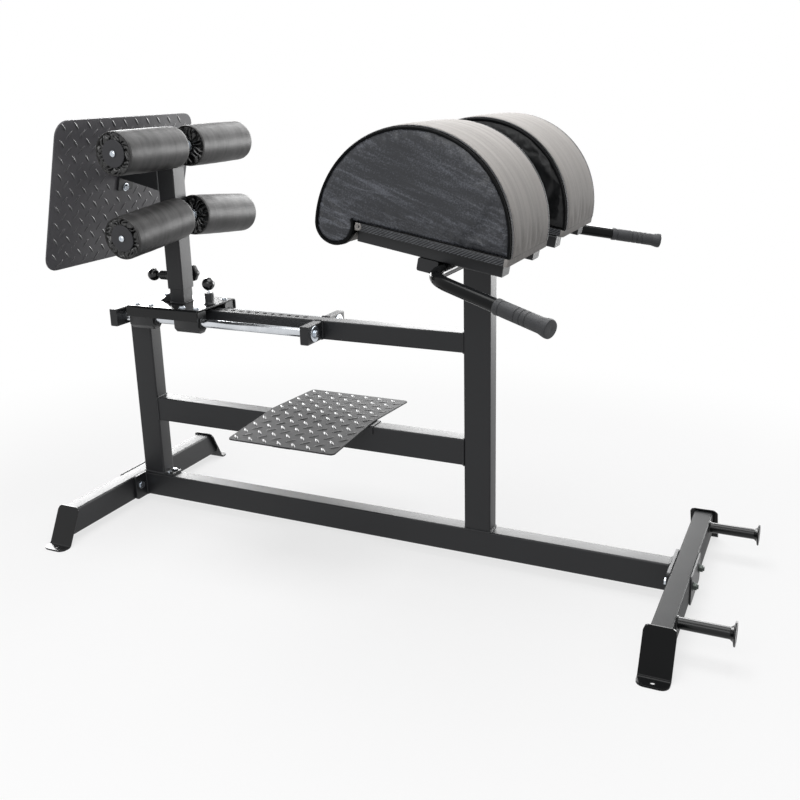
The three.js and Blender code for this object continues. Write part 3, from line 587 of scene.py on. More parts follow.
@dataclass(frozen=True)
class Finish:
    """What all finishes share: a name, the record's slot, and a material that is made once."""

    name: str
    slot: Slot = field(default=Slot.BLACK_COAT, kw_only=True)

    def material(self) -> bpy.types.Material:
        """The finish's material, made at its first use."""
        name = f"{self.name}_finish"
        return bpy.data.materials.get(name) or self.made(Shader(name))

    def made(self, shader: Shader) -> bpy.types.Material:
        """Builds the material."""
        raise NotImplementedError


@dataclass(frozen=True)
class PowderCoat(Finish):
    """Satin black powder coat: fine orange peel, with a little unevenness in its gloss."""

    name: str = "satin_powder_coat"
    dark: Colour = srgb(24, 25, 27)
    light: Colour = srgb(33, 34, 37)
    gloss: float = 0.36
    peel: float = 0.03
    shine: float = 0.4

    def made(self, shader: Shader) -> bpy.types.Material:
        """Builds the material.

        Args:
            shader: the nodes to fill.

        Returns:
            The material.
        """
        at = shader.place()
        cloud = shader.noise(at, 9.0, 4.0)
        peel = shader.noise(at, 520.0, 2.0)
        return shader.close({
            "Base Color": shader.blend(cloud, self.dark, self.light),
            "Roughness": cloud * 0.1 + peel * 0.06 + self.gloss,
            "Normal": shader.bump(peel, self.peel),
            "Specular IOR Level": self.shine,
        })


@dataclass(frozen=True)
class Metal(Finish):
    """Plated metal with fine turning marks along one direction."""

    name: str = "polished_chrome"
    dark: Colour = srgb(188, 192, 197)
    light: Colour = srgb(226, 229, 233)
    gloss: float = 0.1
    marks: Triple = (900.0, 40.0, 40.0)
    slot: Slot = field(default=Slot.ZINC, kw_only=True)

    def made(self, shader: Shader) -> bpy.types.Material:
        """Builds the material.

        Args:
            shader: the nodes to fill.

        Returns:
            The material.
        """
        fine = shader.noise(shader.place(self.marks), 1.0, 2.0)
        cloud = shader.noise(shader.place(), 30.0, 3.0)
        return shader.close({
            "Base Color": shader.blend(cloud, self.dark, self.light),
            "Metallic": 1.0,
            "Roughness": fine * 0.08 + cloud * 0.06 + self.gloss,
            "Normal": shader.bump(fine, 0.008),
        })


@dataclass(frozen=True)
class Plastic(Finish):
    """Moulded black plastic with a fine spark texture."""

    name: str = "moulded_plastic"
    dark: Colour = srgb(19, 20, 21)
    light: Colour = srgb(29, 30, 32)
    gloss: float = 0.32
    grain: float = 700.0
    depth: float = 0.03
    slot: Slot = field(default=Slot.BLACK_PLASTIC, kw_only=True)

    def made(self, shader: Shader) -> bpy.types.Material:
        """Builds the material.

        Args:
            shader: the nodes to fill.

        Returns:
            The material.
        """
        at = shader.place()
        cloud = shader.noise(at, 24.0)
        grain = shader.noise(at, self.grain, 2.0)
        return shader.close({
            "Base Color": shader.blend(cloud, self.dark, self.light),
            "Roughness": cloud * 0.12 + grain * 0.08 + self.gloss,
            "Normal": shader.bump(grain, self.depth),
        })


@dataclass(frozen=True)
class Vinyl(Finish):
    """Coated fabric: a pebbled grain, drawn streaks along its pull, and shallow wrinkles, whose crease lines
    can be painted lighter as a painted highlight.
    """

    name: str = "side_vinyl"
    dark: Colour = srgb(44, 46, 51)
    light: Colour = srgb(70, 73, 80)
    pull: Triple = (1.0, 1.0, 1.0)
    lean: Triple = (0.0, 0.0, 0.0)
    grain: float = 420.0
    streak: float = 0.5
    gloss: float = 0.45
    wrinkle: float = 0.5
    shine: float = 0.4
    crease: float = 0.0
    slot: Slot = field(default=Slot.ROLLER_VINYL, kw_only=True)

    def made(self, shader: Shader) -> bpy.types.Material:
        """Builds the material, whose creases are the lines where a noise passes its middle value. Where
        crease is set, those lines are painted lighter as a painted highlight along the wrinkles, and light
        specks of grain are laid with them.

        Args:
            shader: the nodes to fill.

        Returns:
            The material.
        """
        at = shader.place()
        pulled = shader.place(self.pull, self.lean)
        streaks = shader.noise(pulled, 60.0, 4.0, 0.65, 0.3)
        broad = shader.noise(pulled, 9.0, 3.0, 0.5, 0.4)
        pebbles = shader.cells(at, self.grain)
        mottle = shader.noise(at, 260.0, 3.0, 0.7)
        shade = streaks * self.streak + mottle * (1.0 - self.streak)
        normal = shader.bump(broad, self.wrinkle)
        normal = shader.bump(streaks * 0.5 + pebbles * 0.5, 0.12, normal)
        # Painted highlight: the crease lines are painted lighter, standing for light caught along the
        # wrinkles; the specks are grain.
        if self.crease:
            lines = shader.noise(pulled, 56.0, 1.4, 0.4, 0.2)
            lines = (lines * (1.0 - lines) * 4.0).between(0.985, 1.0) * broad.between(0.3, 0.6)
            specks = shader.noise(at, 460.0, 2.0, 0.6).between(0.5, 0.75)
            shade = shade.between(0.3, 0.8) * (1.0 - self.crease) + (lines + specks * 0.6) * self.crease
            normal = shader.bump(lines, 0.4, normal)
        return shader.close({
            "Base Color": shader.blend(shade.between(0.2, 0.8), self.dark, self.light),
            "Roughness": mottle * 0.16 + streaks * 0.08 + self.gloss,
            "Normal": normal,
            "Specular IOR Level": self.shine,
        })


@dataclass(frozen=True)
class Rubber(Finish):
    """Moulded rubber: dull, dark grey and faintly mottled."""

    name: str = "grip_rubber"
    dark: Colour = srgb(38, 39, 41)
    light: Colour = srgb(56, 57, 60)
    gloss: float = 0.5
    slot: Slot = field(default=Slot.GRIP_RUBBER, kw_only=True)

    def made(self, shader: Shader) -> bpy.types.Material:
        """Builds the material.

        Args:
            shader: the nodes to fill.

        Returns:
            The material.
        """
        at = shader.place()
        mottle = shader.noise(at, 60.0, 4.0, 0.6)
        grain = shader.noise(at, 500.0, 2.0)
        return shader.close({
            "Base Color": shader.blend(mottle, self.dark, self.light),
            "Roughness": mottle * 0.14 + self.gloss,
            "Normal": shader.bump(grain, 0.05),
        })


COAT = PowderCoat()
BOARD_COAT = replace(COAT, slot=Slot.PAD_BOARD)
DULL_COAT = PowderCoat("dull_coat", srgb(26, 27, 28), srgb(40, 41, 42), 0.46, 0.04, 0.14)
TREAD = PowderCoat("tread_coat", srgb(74, 73, 77), srgb(96, 95, 99), 0.36, 0.04, 0.4,
                   slot=Slot.TREAD_PLATE)
STEP_COAT = PowderCoat("step_coat", srgb(48, 48, 49), srgb(64, 64, 65), 0.46, 0.04, 0.1,
                       slot=Slot.TREAD_PLATE)
# Painted shade: the step plate's bars are a darker copy of its coat, standing for the shade along them.
SHADED_STEP_BAR = PowderCoat("step_bar", srgb(28, 28, 29), srgb(42, 42, 43), 0.24, 0.02, 0.35,
                      slot=Slot.TREAD_PLATE)
TREAD_BAR = PowderCoat("tread_bar", srgb(56, 56, 58), srgb(74, 73, 76), 0.26, 0.02, 0.8,
                       slot=Slot.TREAD_PLATE)
GLOSS_COAT = PowderCoat("gloss_coat", srgb(15, 16, 17), srgb(22, 23, 24), 0.14, 0.01, 0.3)
BAR_COAT = PowderCoat("bar_coat", srgb(12, 13, 14), srgb(20, 21, 22), 0.1, 0.006, 0.12)
# Painted highlight: the mast's black-coated weld bead is coloured much lighter than the coat, standing for
# its glints.
WELD_GLINT = PowderCoat("weld_coat", srgb(60, 62, 64), srgb(120, 122, 124), 0.16, 0.3, 0.7)
CHROME = Metal(slot=Slot.CHROME)
ZINC = Metal("zinc_plate", srgb(172, 178, 186), srgb(222, 228, 234), 0.18, (60.0, 60.0, 60.0))
DULL_ZINC = Metal("dull_zinc", srgb(62, 66, 64), srgb(92, 97, 94), 0.36, (60.0, 60.0, 60.0))
PLASTIC = Plastic()
BALL = Plastic("polished_plastic", srgb(14, 14, 15), srgb(19, 19, 20), 0.12, 300.0, 0.005)
CAP = Plastic("cap_plastic", srgb(48, 48, 51), srgb(64, 64, 67), 0.55, 260.0, 0.12)
# The side panels' light crease lines are a painted highlight.
SIDE_VINYL = Vinyl("side_vinyl", srgb(40, 42, 47), srgb(108, 111, 119), (0.11, 1.0, 1.0), (0.0, -0.36, 0.0),
                   streak=0.5, gloss=0.3, wrinkle=1.6, crease=0.22, shine=0.5)
# Painted shade: the panels that face the gap between the pads are a darker copy of the side vinyl.
SHADED_INNER_VINYL = Vinyl("inner_vinyl", srgb(10, 11, 12), srgb(20, 21, 23), gloss=0.3, wrinkle=0.4, shine=0.3)
WRAP_VINYL = Vinyl("wrap_vinyl", srgb(148, 145, 142), srgb(184, 180, 177), (0.05, 1.0, 0.05),
                   grain=380.0, streak=0.7, gloss=0.66, wrinkle=0.35, shine=0.04, slot=Slot.PAD_VINYL)
ROLLER_VINYL = Vinyl("roller_vinyl", srgb(20, 20, 20), srgb(68, 67, 67), (0.04, 1.0, 0.04),
                     grain=360.0, streak=0.9, gloss=0.36, wrinkle=0.3, shine=0.32)
# Painted shade: the puckered roller ends are a near-black copy of the roller vinyl, standing for the shade in
# their folds.
SHADED_GATHERED = Vinyl("gathered_vinyl", srgb(4, 4, 4), srgb(12, 12, 13), gloss=0.16, wrinkle=0.2, shine=0.7)
PIPING = Vinyl("piping_vinyl", srgb(10, 11, 12), srgb(18, 19, 20), gloss=0.5, wrinkle=0.05, shine=0.08)
BAND = Vinyl("ribbed_band", srgb(50, 52, 56), srgb(112, 114, 118), gloss=0.5, wrinkle=0.05,
             slot=Slot.PAD_BOARD)
THREAD = Vinyl("seam_thread", srgb(70, 73, 80), srgb(104, 108, 116), gloss=0.6, wrinkle=0.02,
               slot=Slot.PAD_VINYL)
RUBBER = Rubber()


# Making pieces


def made(name: str, surface: Surface, finish: Finish, body: str,
         replaced: Sequence[str] = (), sharp: float = 40.0) -> bpy.types.Object:
    """Puts a surface into the scene as a piece.

    Args:
        name: the piece's name.
        surface: its closed shape.
        finish: its material and slot.
        body: the CAD body that it rides on.
        replaced: CAD nodes that it stands for.
        sharp: angle in degrees above which an edge is shaded sharp.

    Returns:
        The piece.
    """
    mesh = bpy.data.meshes.new(name)
    faces = [face if face[2] != face[3] else face[:3] for face in surface.faces.tolist()]
    mesh.from_pydata(surface.row().tolist(), [], faces)
    shape = bmesh.new()
    shape.from_mesh(mesh)
    bmesh.ops.remove_doubles(shape, verts=shape.verts, dist=MERGE)
    bmesh.ops.recalc_face_normals(shape, faces=shape.faces)
    return settled(name, mesh, shape, finish, body, replaced, sharp)


def settled(name: str, mesh: bpy.types.Mesh, shape: bmesh.types.BMesh, finish: Finish, body: str,
            replaced: Sequence[str], sharp: float) -> bpy.types.Object:
    """Writes a shape to its mesh, shades and dresses it, and makes it ride.

    Args:
        name: the piece's name.
        mesh: the mesh to fill.
        shape: its faces, freed here.
        finish: its material and slot.
        body: the CAD body that it rides on.
        replaced: CAD nodes that it stands for.
        sharp: angle in degrees above which an edge is shaded sharp.

    Returns:
        The piece.
    """
    shape.to_mesh(mesh)
    shape.free()
    mesh.materials.clear()
    mesh.materials.append(finish.material())
    mesh.shade_smooth()
    mesh.set_sharp_from_angle(angle=math.radians(sharp))
    piece = bpy.data.objects.new(name, mesh)
    bpy.context.scene.collection.objects.link(piece)
    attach(piece, body)
    if replaced:
        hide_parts(*replaced)
    LOG.info("%s: %d faces on %s", name, len(mesh.polygons), body)
    return piece


def places_of(mesh: bpy.types.Mesh) -> Array:
    """The places of a mesh's vertices, in metres.

    Args:
        mesh: the mesh.

    Returns:
        The places, one row for each vertex.
    """
    spots = np.empty(3 * len(mesh.vertices))
    mesh.vertices.foreach_get("co", spots)
    return spots.reshape(-1, 3)


def filled(piece: bpy.types.Object, held: Array, cap: float, pressure: float = 4.0) -> None:
    """Fills a closed piece from inside with Cloth for 20 steps, and keeps the result in its mesh.

    A vertex that Cloth moves by d ends up moved by cap x tanh(d / cap) the same way.

    Args:
        piece: the piece, which has no other modifier.
        held: which of its vertices stay in place.
        cap: how far in millimetres a vertex may move.
        pressure: pressure inside.
    """
    group = piece.vertex_groups.new(name="held")
    group.add(np.flatnonzero(held).tolist(), 1.0, "REPLACE")
    cloth = piece.modifiers.new("fill", "CLOTH")
    cloth.settings.vertex_group_mass = group.name
    cloth.settings.use_pressure = True
    cloth.settings.uniform_pressure_force = pressure
    cloth.settings.shrink_min = CLOTH_SHRINK
    cloth.settings.effector_weights.gravity = 0.0
    for step in range(1, CLOTH_STEPS + 1):
        bpy.context.scene.frame_set(step)
    before = places_of(piece.data)
    move = places_of(piece.evaluated_get(bpy.context.evaluated_depsgraph_get()).data) - before
    far = np.maximum(np.linalg.norm(move, axis=1, keepdims=True), 1e-9)
    LOG.info("%s: Cloth moved it by up to %.1f mm", piece.name, far.max() / METRE)
    after = before + move * np.tanh(far / (cap * METRE)) * cap * METRE / far
    piece.data.vertices.foreach_set("co", after.ravel())
    piece.modifiers.remove(cloth)
    piece.vertex_groups.remove(group)
    bpy.context.scene.frame_set(1)


def refined(node: str, finish: Finish, ease: float = 1.0) -> bpy.types.Object:
    """A copy of a CAD node with its triangles merged, its sharp edges eased and its corners smooth.

    Args:
        node: the CAD node that it stands for.
        finish: its material and slot.
        ease: width of the eased edges.

    Returns:
        The piece.
    """
    mesh = frame["nodes"][node].data.copy()
    shape = bmesh.new()
    shape.from_mesh(mesh)
    bmesh.ops.remove_doubles(shape, verts=shape.verts, dist=CAD_MERGE)
    bmesh.ops.dissolve_limit(shape, angle_limit=CAD_FLAT, verts=shape.verts, edges=shape.edges)
    edges = [edge for edge in shape.edges if len(edge.link_faces) == 2
             and edge.calc_face_angle(0.0) > CAD_EDGE]
    bmesh.ops.bevel(shape, geom=edges, offset=ease * METRE, offset_type="OFFSET", segments=2,
                    profile=0.5, affect="EDGES", clamp_overlap=True)
    piece = settled(f"{node}_form", mesh, shape, finish, BODY_OF[node], [node], 50.0)
    weights = piece.modifiers.new("flat_faces", "WEIGHTED_NORMAL")
    weights.keep_sharp = True
    return piece


def bead(loop: Array, radius: float = 3.0, up: Array = AXIS_X, closed: bool = True) -> Surface:
    """A weld bead along a line: a flattened round whose size ripples as the weld was laid.

    The scale is 0.85 + 0.25 |sin(pi s / ripple)| + 0.06 sin(s / 11) over the length s.

    Args:
        loop: the line's points.
        radius: the bead's half width.
        up: a direction that is never along the line.
        closed: whether the line returns to its start.

    Returns:
        The bead.
    """
    spacing, ripple_long = 1.3, 4.3
    path = resampled(loop, spacing, closed)
    s = np.arange(len(path)) * spacing
    scale = 0.85 + 0.25 * np.abs(np.sin(math.pi * s / ripple_long)) + 0.06 * np.sin(s / 11.0)
    return swept(path, circle(radius, 8), up, closed, scale)


def bead_round(left: float, right: float, low: float, high: float, height: float) -> Surface:
    """A weld bead round an upright rectangular tube that ends on a plane."""
    return bead(level(rounded_rect(left, right, low, high, 5.0), height), 3.0, AXIS_Z)


def hex_bolt(radius: float, low: float, high: float) -> Surface:
    """A hexagon head between two heights, with its outer rim chamfered."""
    return stacked(hexagon(radius), [(1.0, low), (1.0, high - 1.0), (0.9, high)])


def washer(radius: float, low: float, high: float, bore: float = 5.0) -> Surface:
    """A flat ring with eased edges."""
    corners = np.array([[bore, low], [radius, low], [radius, high], [bore, high]])
    return turned(softened(corners, 0.6, 2, closed=True), 40, hoop=True)


def screw_thread(radius: float, low: float, high: float) -> Surface:
    """A threaded end: a bar whose radius swings with its height.

    Args:
        radius: radius over the crests.
        low: where it starts.
        high: where it ends.

    Returns:
        The thread.
    """
    pitch, depth = 1.8, 0.35
    height = np.arange(low, high, pitch / 4)
    swing = radius - depth + depth * np.cos(2 * math.pi * height / pitch)
    return turned(np.column_stack([swing, height]), 24)


# Sub-assemblies


@dataclass
class Chassis:
    """The floor frame: tubes, plates, feet, welds, bolts and pegs."""

    tube_tall: float = 75.0
    tube_wide: float = 50.0
    base_low: float = 25.0
    base_top: float = 100.0
    base_length: float = 1647.0
    upright_rear: float = 1094.0
    mid_top: float = 360.0
    rail_half: float = 22.5
    rail_low: float = 599.0
    rail_top: float = 653.0
    cross_front: float = 21.0
    bracket_rear: float = 650.0
    bracket_deep: float = 26.0
    bar_face: float = 1705.0
    peg_spread: float = 265.0
    peg_height: float = 85.0
    bolt_spread: float = 50.0
    bolt_height: float = 67.0
    grip: float = 62.2
    weld: float = 2.6
    foot_bolt: Triple = (88.0, 13.0, 106.0)
    plates: list[str] = field(default_factory=lambda: [
        "rear_joint_flange", "front_joint_flange", "rear_back_plate", "front_back_plate",
        "rear_foot_near", "rear_foot_far", "front_foot_near", "front_foot_far", "step_saddle"])
    # Painted shade: the front foot plates take the darker, less shiny bar coat, while the rear ones take the
    # gloss coat.
    coats: dict[str, Finish] = field(default_factory=lambda: {
        "rear_foot_near": GLOSS_COAT, "rear_foot_far": GLOSS_COAT, "front_foot_near": BAR_COAT,
        "front_foot_far": BAR_COAT, "front_foot_bar": DULL_COAT})
    tubes: list[str] = field(default_factory=lambda: [
        "base_tube", "mid_rail", "rear_upright", "main_upright", "upper_rail", "rear_cross_bar",
        "rod_bracket_near", "rod_bracket_far", "rear_foot_bar", "front_foot_bar"])

    def build(self) -> None:
        """Builds the frame."""
        for node in self.tubes + self.plates:
            refined(node, self.coats.get(node, COAT), 0.8 if node in self.plates else 1.0)
        made("frame_welds", joined(*self.welds()), COAT, "frame")
        for word, place, out in (("rear", 0.0, -1.0), ("front", self.base_length, 1.0)):
            for side in Side:
                self.joint_bolt(word, place, out, side)
        for side in Side:
            made(f"band_peg_{side.word}_form", self.peg(side), GLOSS_COAT, "frame",
                 [f"band_peg_{side.word}"])
        x, spread, low = self.foot_bolt
        head = hex_bolt(7.0, low, low + 5.6)
        made("upright_foot_bolts", both(lambda way: head.moved(shift(x, way * spread, 0.0))), ZINC, "frame")

    def welds(self) -> list[Surface]:
        """The beads at the ends of the tubes.

        Returns:
            The beads.
        """
        half = self.tube_wide / 2
        rail = (-self.rail_half, self.rail_half, self.rail_low, self.rail_top)
        tall = (-half, half, self.mid_top - self.tube_tall, self.mid_top)
        base = (-half, half, self.base_low, self.base_top)
        beads = [self.ring_x(base, x) for x in (1.0, self.base_length - 1.0)]
        beads += [self.ring_x(tall, x) for x in (self.tube_tall + 1.0, self.upright_rear - 1.0)]
        beads += [self.ring_x(rail, x) for x in (self.cross_front + 1.0, self.upright_rear - 1.0)]
        rear, front = self.upright_rear, self.upright_rear + self.tube_tall
        beads.append(bead_round(rear, front, -half, half, self.base_top + 1.0))
        beads.append(bead_round(0.0, self.tube_tall, -half, half, self.base_top + 7.0))
        return beads + [self.bracket_bead(side.value) for side in Side]

    def ring_x(self, section: tuple[float, float, float, float], x: float) -> Surface:
        """A bead round a tube along x, given by its y and z limits."""
        flat = rounded_rect(*section, 5.0)
        return bead(np.column_stack([np.full(len(flat), x), flat]), self.weld, AXIS_X)

    def bracket_bead(self, sign: float) -> Surface:
        """A bead where a rod bracket meets the side of the upper rail.

        Args:
            sign: the sign of y on its side.

        Returns:
            The bead.
        """
        rear = self.bracket_rear
        flat = rounded_rect(rear, rear + self.bracket_deep, self.rail_top - 52.0, self.rail_top, 3.0)
        y = np.full(len(flat), sign * (self.rail_half + 1.0))
        return bead(np.column_stack([flat[:, 0], y, flat[:, 1]]), self.weld, AXIS_Y)

    def joint_bolt(self, word: str, place: float, out: float, side: Side) -> None:
        """A through bolt with its head, nut, washers and threaded end.

        Args:
            word: the joint's word in names.
            place: x of the joint's face.
            out: 1 or -1, the way out of the base tube.
            side: the bolt's side.
        """
        matrix = aimed((place - out * 0.1, side.value * self.bolt_spread, self.bolt_height), out * AXIS_X)
        nut = self.grip + 0.1
        shank = turned(softened(np.array([[0, -2.0], [6.0, -2.0], [6.0, nut], [0, nut]]), 0.5), 24)
        node = f"{word}_joint_bolt_{side.word}"
        head = joined(hex_bolt(10.0, -6.8, -1.4), washer(12.0, -1.5, 0.0, 6.0), shank)
        made(f"{node}_form", head.moved(matrix), ZINC, "frame", [node])
        back = joined(washer(12.0, nut, nut + 1.5, 6.0), hex_bolt(10.0, nut + 1.4, nut + 10.0),
                      screw_thread(6.0, nut + 9.0, nut + 13.9))
        made(f"{node}_nut", back.moved(matrix), DULL_ZINC, "frame")

    def peg(self, side: Side) -> Surface:
        """A band peg: a round stub with a flared neck and a dished disc, and the weld at its foot.

        Args:
            side: the peg's side.

        Returns:
            The peg.
        """
        corners = np.array([[0, 0.1], [14.0, 0.1], [14.0, 117.0], [19.5, 124.0], [29.0, 126.0],
                            [29.0, 130.0], [24.0, 130.0], [20.0, 128.8], [0, 128.8]])
        matrix = aimed((self.bar_face, side.value * self.peg_spread, self.peg_height), AXIS_X)
        foot = bead(level(circle(14.0, 40), 1.2), self.weld, AXIS_Z)
        return joined(turned(softened(corners, 1.6, 4), 48), foot).moved(matrix)


@dataclass
class Tread:
    """Raised bars of a tread plate: pointed lens shapes, every second one turned across."""

    long: float = 33.0
    wide: float = 8.0
    high: float = 2.0
    slant: float = math.radians(47)

    def bar(self) -> Surface:
        """One bar along local x.

        At t from -1 to 1 along it, its half width is wide / 2 x (1 - t^2)^0.8 and its height
        high x (1 - t^2)^0.6. Its section is an arch s -> (s, 1 - s^2), closed below the plate.

        Returns:
            The bar, closed.
        """
        t = np.linspace(-1.0, 1.0, 11)[1:-1, None]
        s = np.array([-1.0, -0.72, -0.36, 0.0, 0.36, 0.72, 1.0])[None]
        across = s * self.wide / 2 * (1 - t**2) ** 0.8
        rise = (1 - s**2) * self.high * (1 - t**2) ** 0.6
        rings = np.stack([t * self.long / 2 + 0 * s, across, rise - 0.05], axis=-1)
        tips = np.array([[-self.long / 2, 0.0, -0.05], [self.long / 2, 0.0, -0.05]])
        ends = [np.broadcast_to(tip, rings.shape[1:])[None] for tip in tips]
        return loft(np.concatenate([ends[0], rings, ends[1]]))

    def field(self, start: tuple[float, float], pitch: tuple[float, float],
              limits: tuple[float, float, float, float], keep: Callable[[Array], Array],
              lift: Callable[[Array], Array]) -> Surface:
        """Bars over a plate.

        Bar (i, j) lies at start + (i, j) x pitch, turned by the slant, and between each four
        lies one turned the other way.

        Args:
            start: place of one bar.
            pitch: steps along both directions.
            limits: lowest and highest u, then lowest and highest v.
            keep: tells which places, as rows of u and v, hold a bar.
            lift: gives the 4 x 4 matrices of places, as rows of u, v and angle.

        Returns:
            All bars.
        """
        count = np.arange(-30, 31)
        i, j = (grid.ravel() for grid in np.meshgrid(count, count))
        rows = []
        for offset, angle in ((0.0, self.slant), (0.5, -self.slant)):
            u, v = start[0] + (i + offset) * pitch[0], start[1] + (j + offset) * pitch[1]
            rows.append(np.column_stack([u, v, np.full(len(u), angle)]))
        spots = np.concatenate(rows)
        low_u, high_u, low_v, high_v = limits
        u, v = spots[:, 0], spots[:, 1]
        spots = spots[(u > low_u) & (u < high_u) & (v > low_v) & (v < high_v)]
        return self.bar().scattered(lift(spots[keep(spots)]))


@dataclass
class StepPlate:
    """The treaded step over the middle rail, folded along its ridge."""

    rear: float = 482.0
    long: float = 331.0
    half_wide: float = 237.0
    droop: float = math.radians(3.5)
    ridge: float = 368.94
    margin: float = 10.0
    first_bar: tuple[float, float] = (522.6, -195.8)
    pitch: tuple[float, float] = (45.5, 48.3)

    def build(self) -> None:
        """Builds the plate and its bars."""
        refined("step_plate", STEP_COAT, 0.8)
        limits = (self.rear + self.margin, self.rear + self.long - self.margin,
                  -self.half_wide + self.margin, self.half_wide - self.margin)
        bars = Tread().field(self.first_bar, self.pitch, limits,
                             lambda spots: np.isfinite(spots[:, 0]), self.lift)
        # The bars take the darker coat, painted shade along them.
        made("step_plate_bars", bars, SHADED_STEP_BAR, "frame")

    def lift(self, spots: Array) -> Array:
        """Places on the folded top: height ridge - |y| tan(droop), leaning with its half.

        A bar within 10 of the ridge leans less, and every bar sits 0.3 deeper there.

        Args:
            spots: rows of u, v and angle.

        Returns:
            The matrices.
        """
        near = np.clip(spots[:, 1] / 10.0, -1.0, 1.0)
        lean = near * self.droop
        c, s = np.cos(spots[:, 2]), np.sin(spots[:, 2])
        height = self.ridge - np.abs(spots[:, 1]) * math.tan(self.droop) - 0.3 * (1 - np.abs(near))
        axes = ([c, s * np.cos(lean), -s * np.sin(lean)], [-s, c * np.cos(lean), -c * np.sin(lean)],
                [0 * c, np.sin(lean), np.cos(lean)], [spots[:, 0], spots[:, 1], height])
        return frames(*(np.column_stack(axis) for axis in axes))


@dataclass
class GuideRods:
    """Two polished rods, with a washer and nut at each end."""

    spread: float = 70.0
    height: float = 627.0
    rear: float = 21.1
    front: float = 649.9
    radius: float = 12.5
    outer_rear: float = -5.1
    outer_front: float = 676.1

    def build(self) -> None:
        """Builds both rods."""
        for side in Side:
            matrix = aimed((0.0, side.value * self.spread, self.height), AXIS_X)
            line = [[0, self.rear], [self.radius, self.rear], [self.radius, self.front], [0, self.front]]
            rod = turned(softened(np.array(line), 1.2), 48)
            made(f"guide_rod_{side.word}_form", rod.moved(matrix), CHROME, "frame",
                 [f"guide_rod_{side.word}"])
            made(f"guide_rod_{side.word}_nuts", joined(*self.nuts()).moved(matrix), ZINC, "frame")

    def nuts(self) -> list[Surface]:
        """The washers, nuts and thread ends, and the stud through each cross tube.

        Returns:
            All of them, along local z.
        """
        rear, front = self.outer_rear, self.outer_front
        studs = [turned(np.array([[0, a], [6.0, a], [6.0, b], [0, b]]), 20)
                 for a, b in ((rear - 1.0, self.rear), (self.front, front + 1.0))]
        flip = turn(AXIS_X, math.pi)
        heads = [washer(22.0, 0.0, 3.0, 6.0), hex_bolt(10.0, 3.0, 9.2), screw_thread(5.6, 8.0, 9.9)]
        at_front = [part.moved(shift(0, 0, front)) for part in heads]
        at_rear = [part.moved(flip).moved(shift(0, 0, rear)) for part in heads]
        return studs + at_front + at_rear


@dataclass
class SprungPin:
    """A pull pin: fluted sleeve, bright neck and ball knob, along local z from its seat."""

    bore: float = 6.4
    sleeve: float = 13.5
    sleeve_top: float = 34.0
    foot: float = 17.0
    flutes: int = 14
    ball: float = 18.5
    ball_out: float = 60.0

    def housing(self, boss: float) -> Surface:
        """The sleeve: a foot over a boss, then a ring whose outside is drawn in by flutes.

        A flute takes off 0.8 (0.5 - 0.5 cos(flutes x angle))^2 between the foot and the top.

        Args:
            boss: length of the boss below the seat.

        Returns:
            The sleeve.
        """
        corners = np.array([
            [self.bore, 0.1 - boss], [self.foot, 0.1 - boss], [self.foot, 2.6], [self.sleeve + 0.4, 4.2],
            [self.sleeve, 7.0], [self.sleeve, 30.5], [self.sleeve - 1.4, self.sleeve_top],
            [self.bore, self.sleeve_top]])
        line = resampled(softened(corners, 0.7, 3, closed=True), 1.1, True)
        angle = angles(8 * self.flutes)
        grip = np.clip((line[:, 1] - 7.0) / 2.0, 0, 1) * np.clip((31.0 - line[:, 1]) / 2.0, 0, 1)
        grip = grip * (line[:, 0] > 10.0)
        radius = line[:, :1] - 0.8 * grip[:, None] * (0.5 - 0.5 * np.cos(self.flutes * angle)) ** 2
        return loft(around(radius, angle, line[:, 1:]), hoop=True)

    def neck(self, reach: float) -> Surface:
        """The bright stem, from its tip to inside the ball.

        Args:
            reach: how far it reaches below the seat.

        Returns:
            The stem.
        """
        corners = np.array([[0, 0.4 - reach], [5.0, 0.4 - reach], [6.0, 2.0 - reach], [6.0, 38.0],
                            [5.0, 38.0], [5.0, 46.0], [0, 46.0]])
        return turned(softened(corners, 0.4, 2), 32)

    def knob(self) -> Surface:
        """The ball, with a short collar towards the stem.

        Returns:
            The ball.
        """
        polar = np.linspace(-math.pi / 2 + 0.42, math.pi / 2, 28)
        arc = np.column_stack([self.ball * np.cos(polar), self.ball_out + self.ball * np.sin(polar)])
        start = np.array([[0, 42.3], [6.6, 42.3], [7.4, 43.0]])
        return turned(np.concatenate([start, arc]), 48)


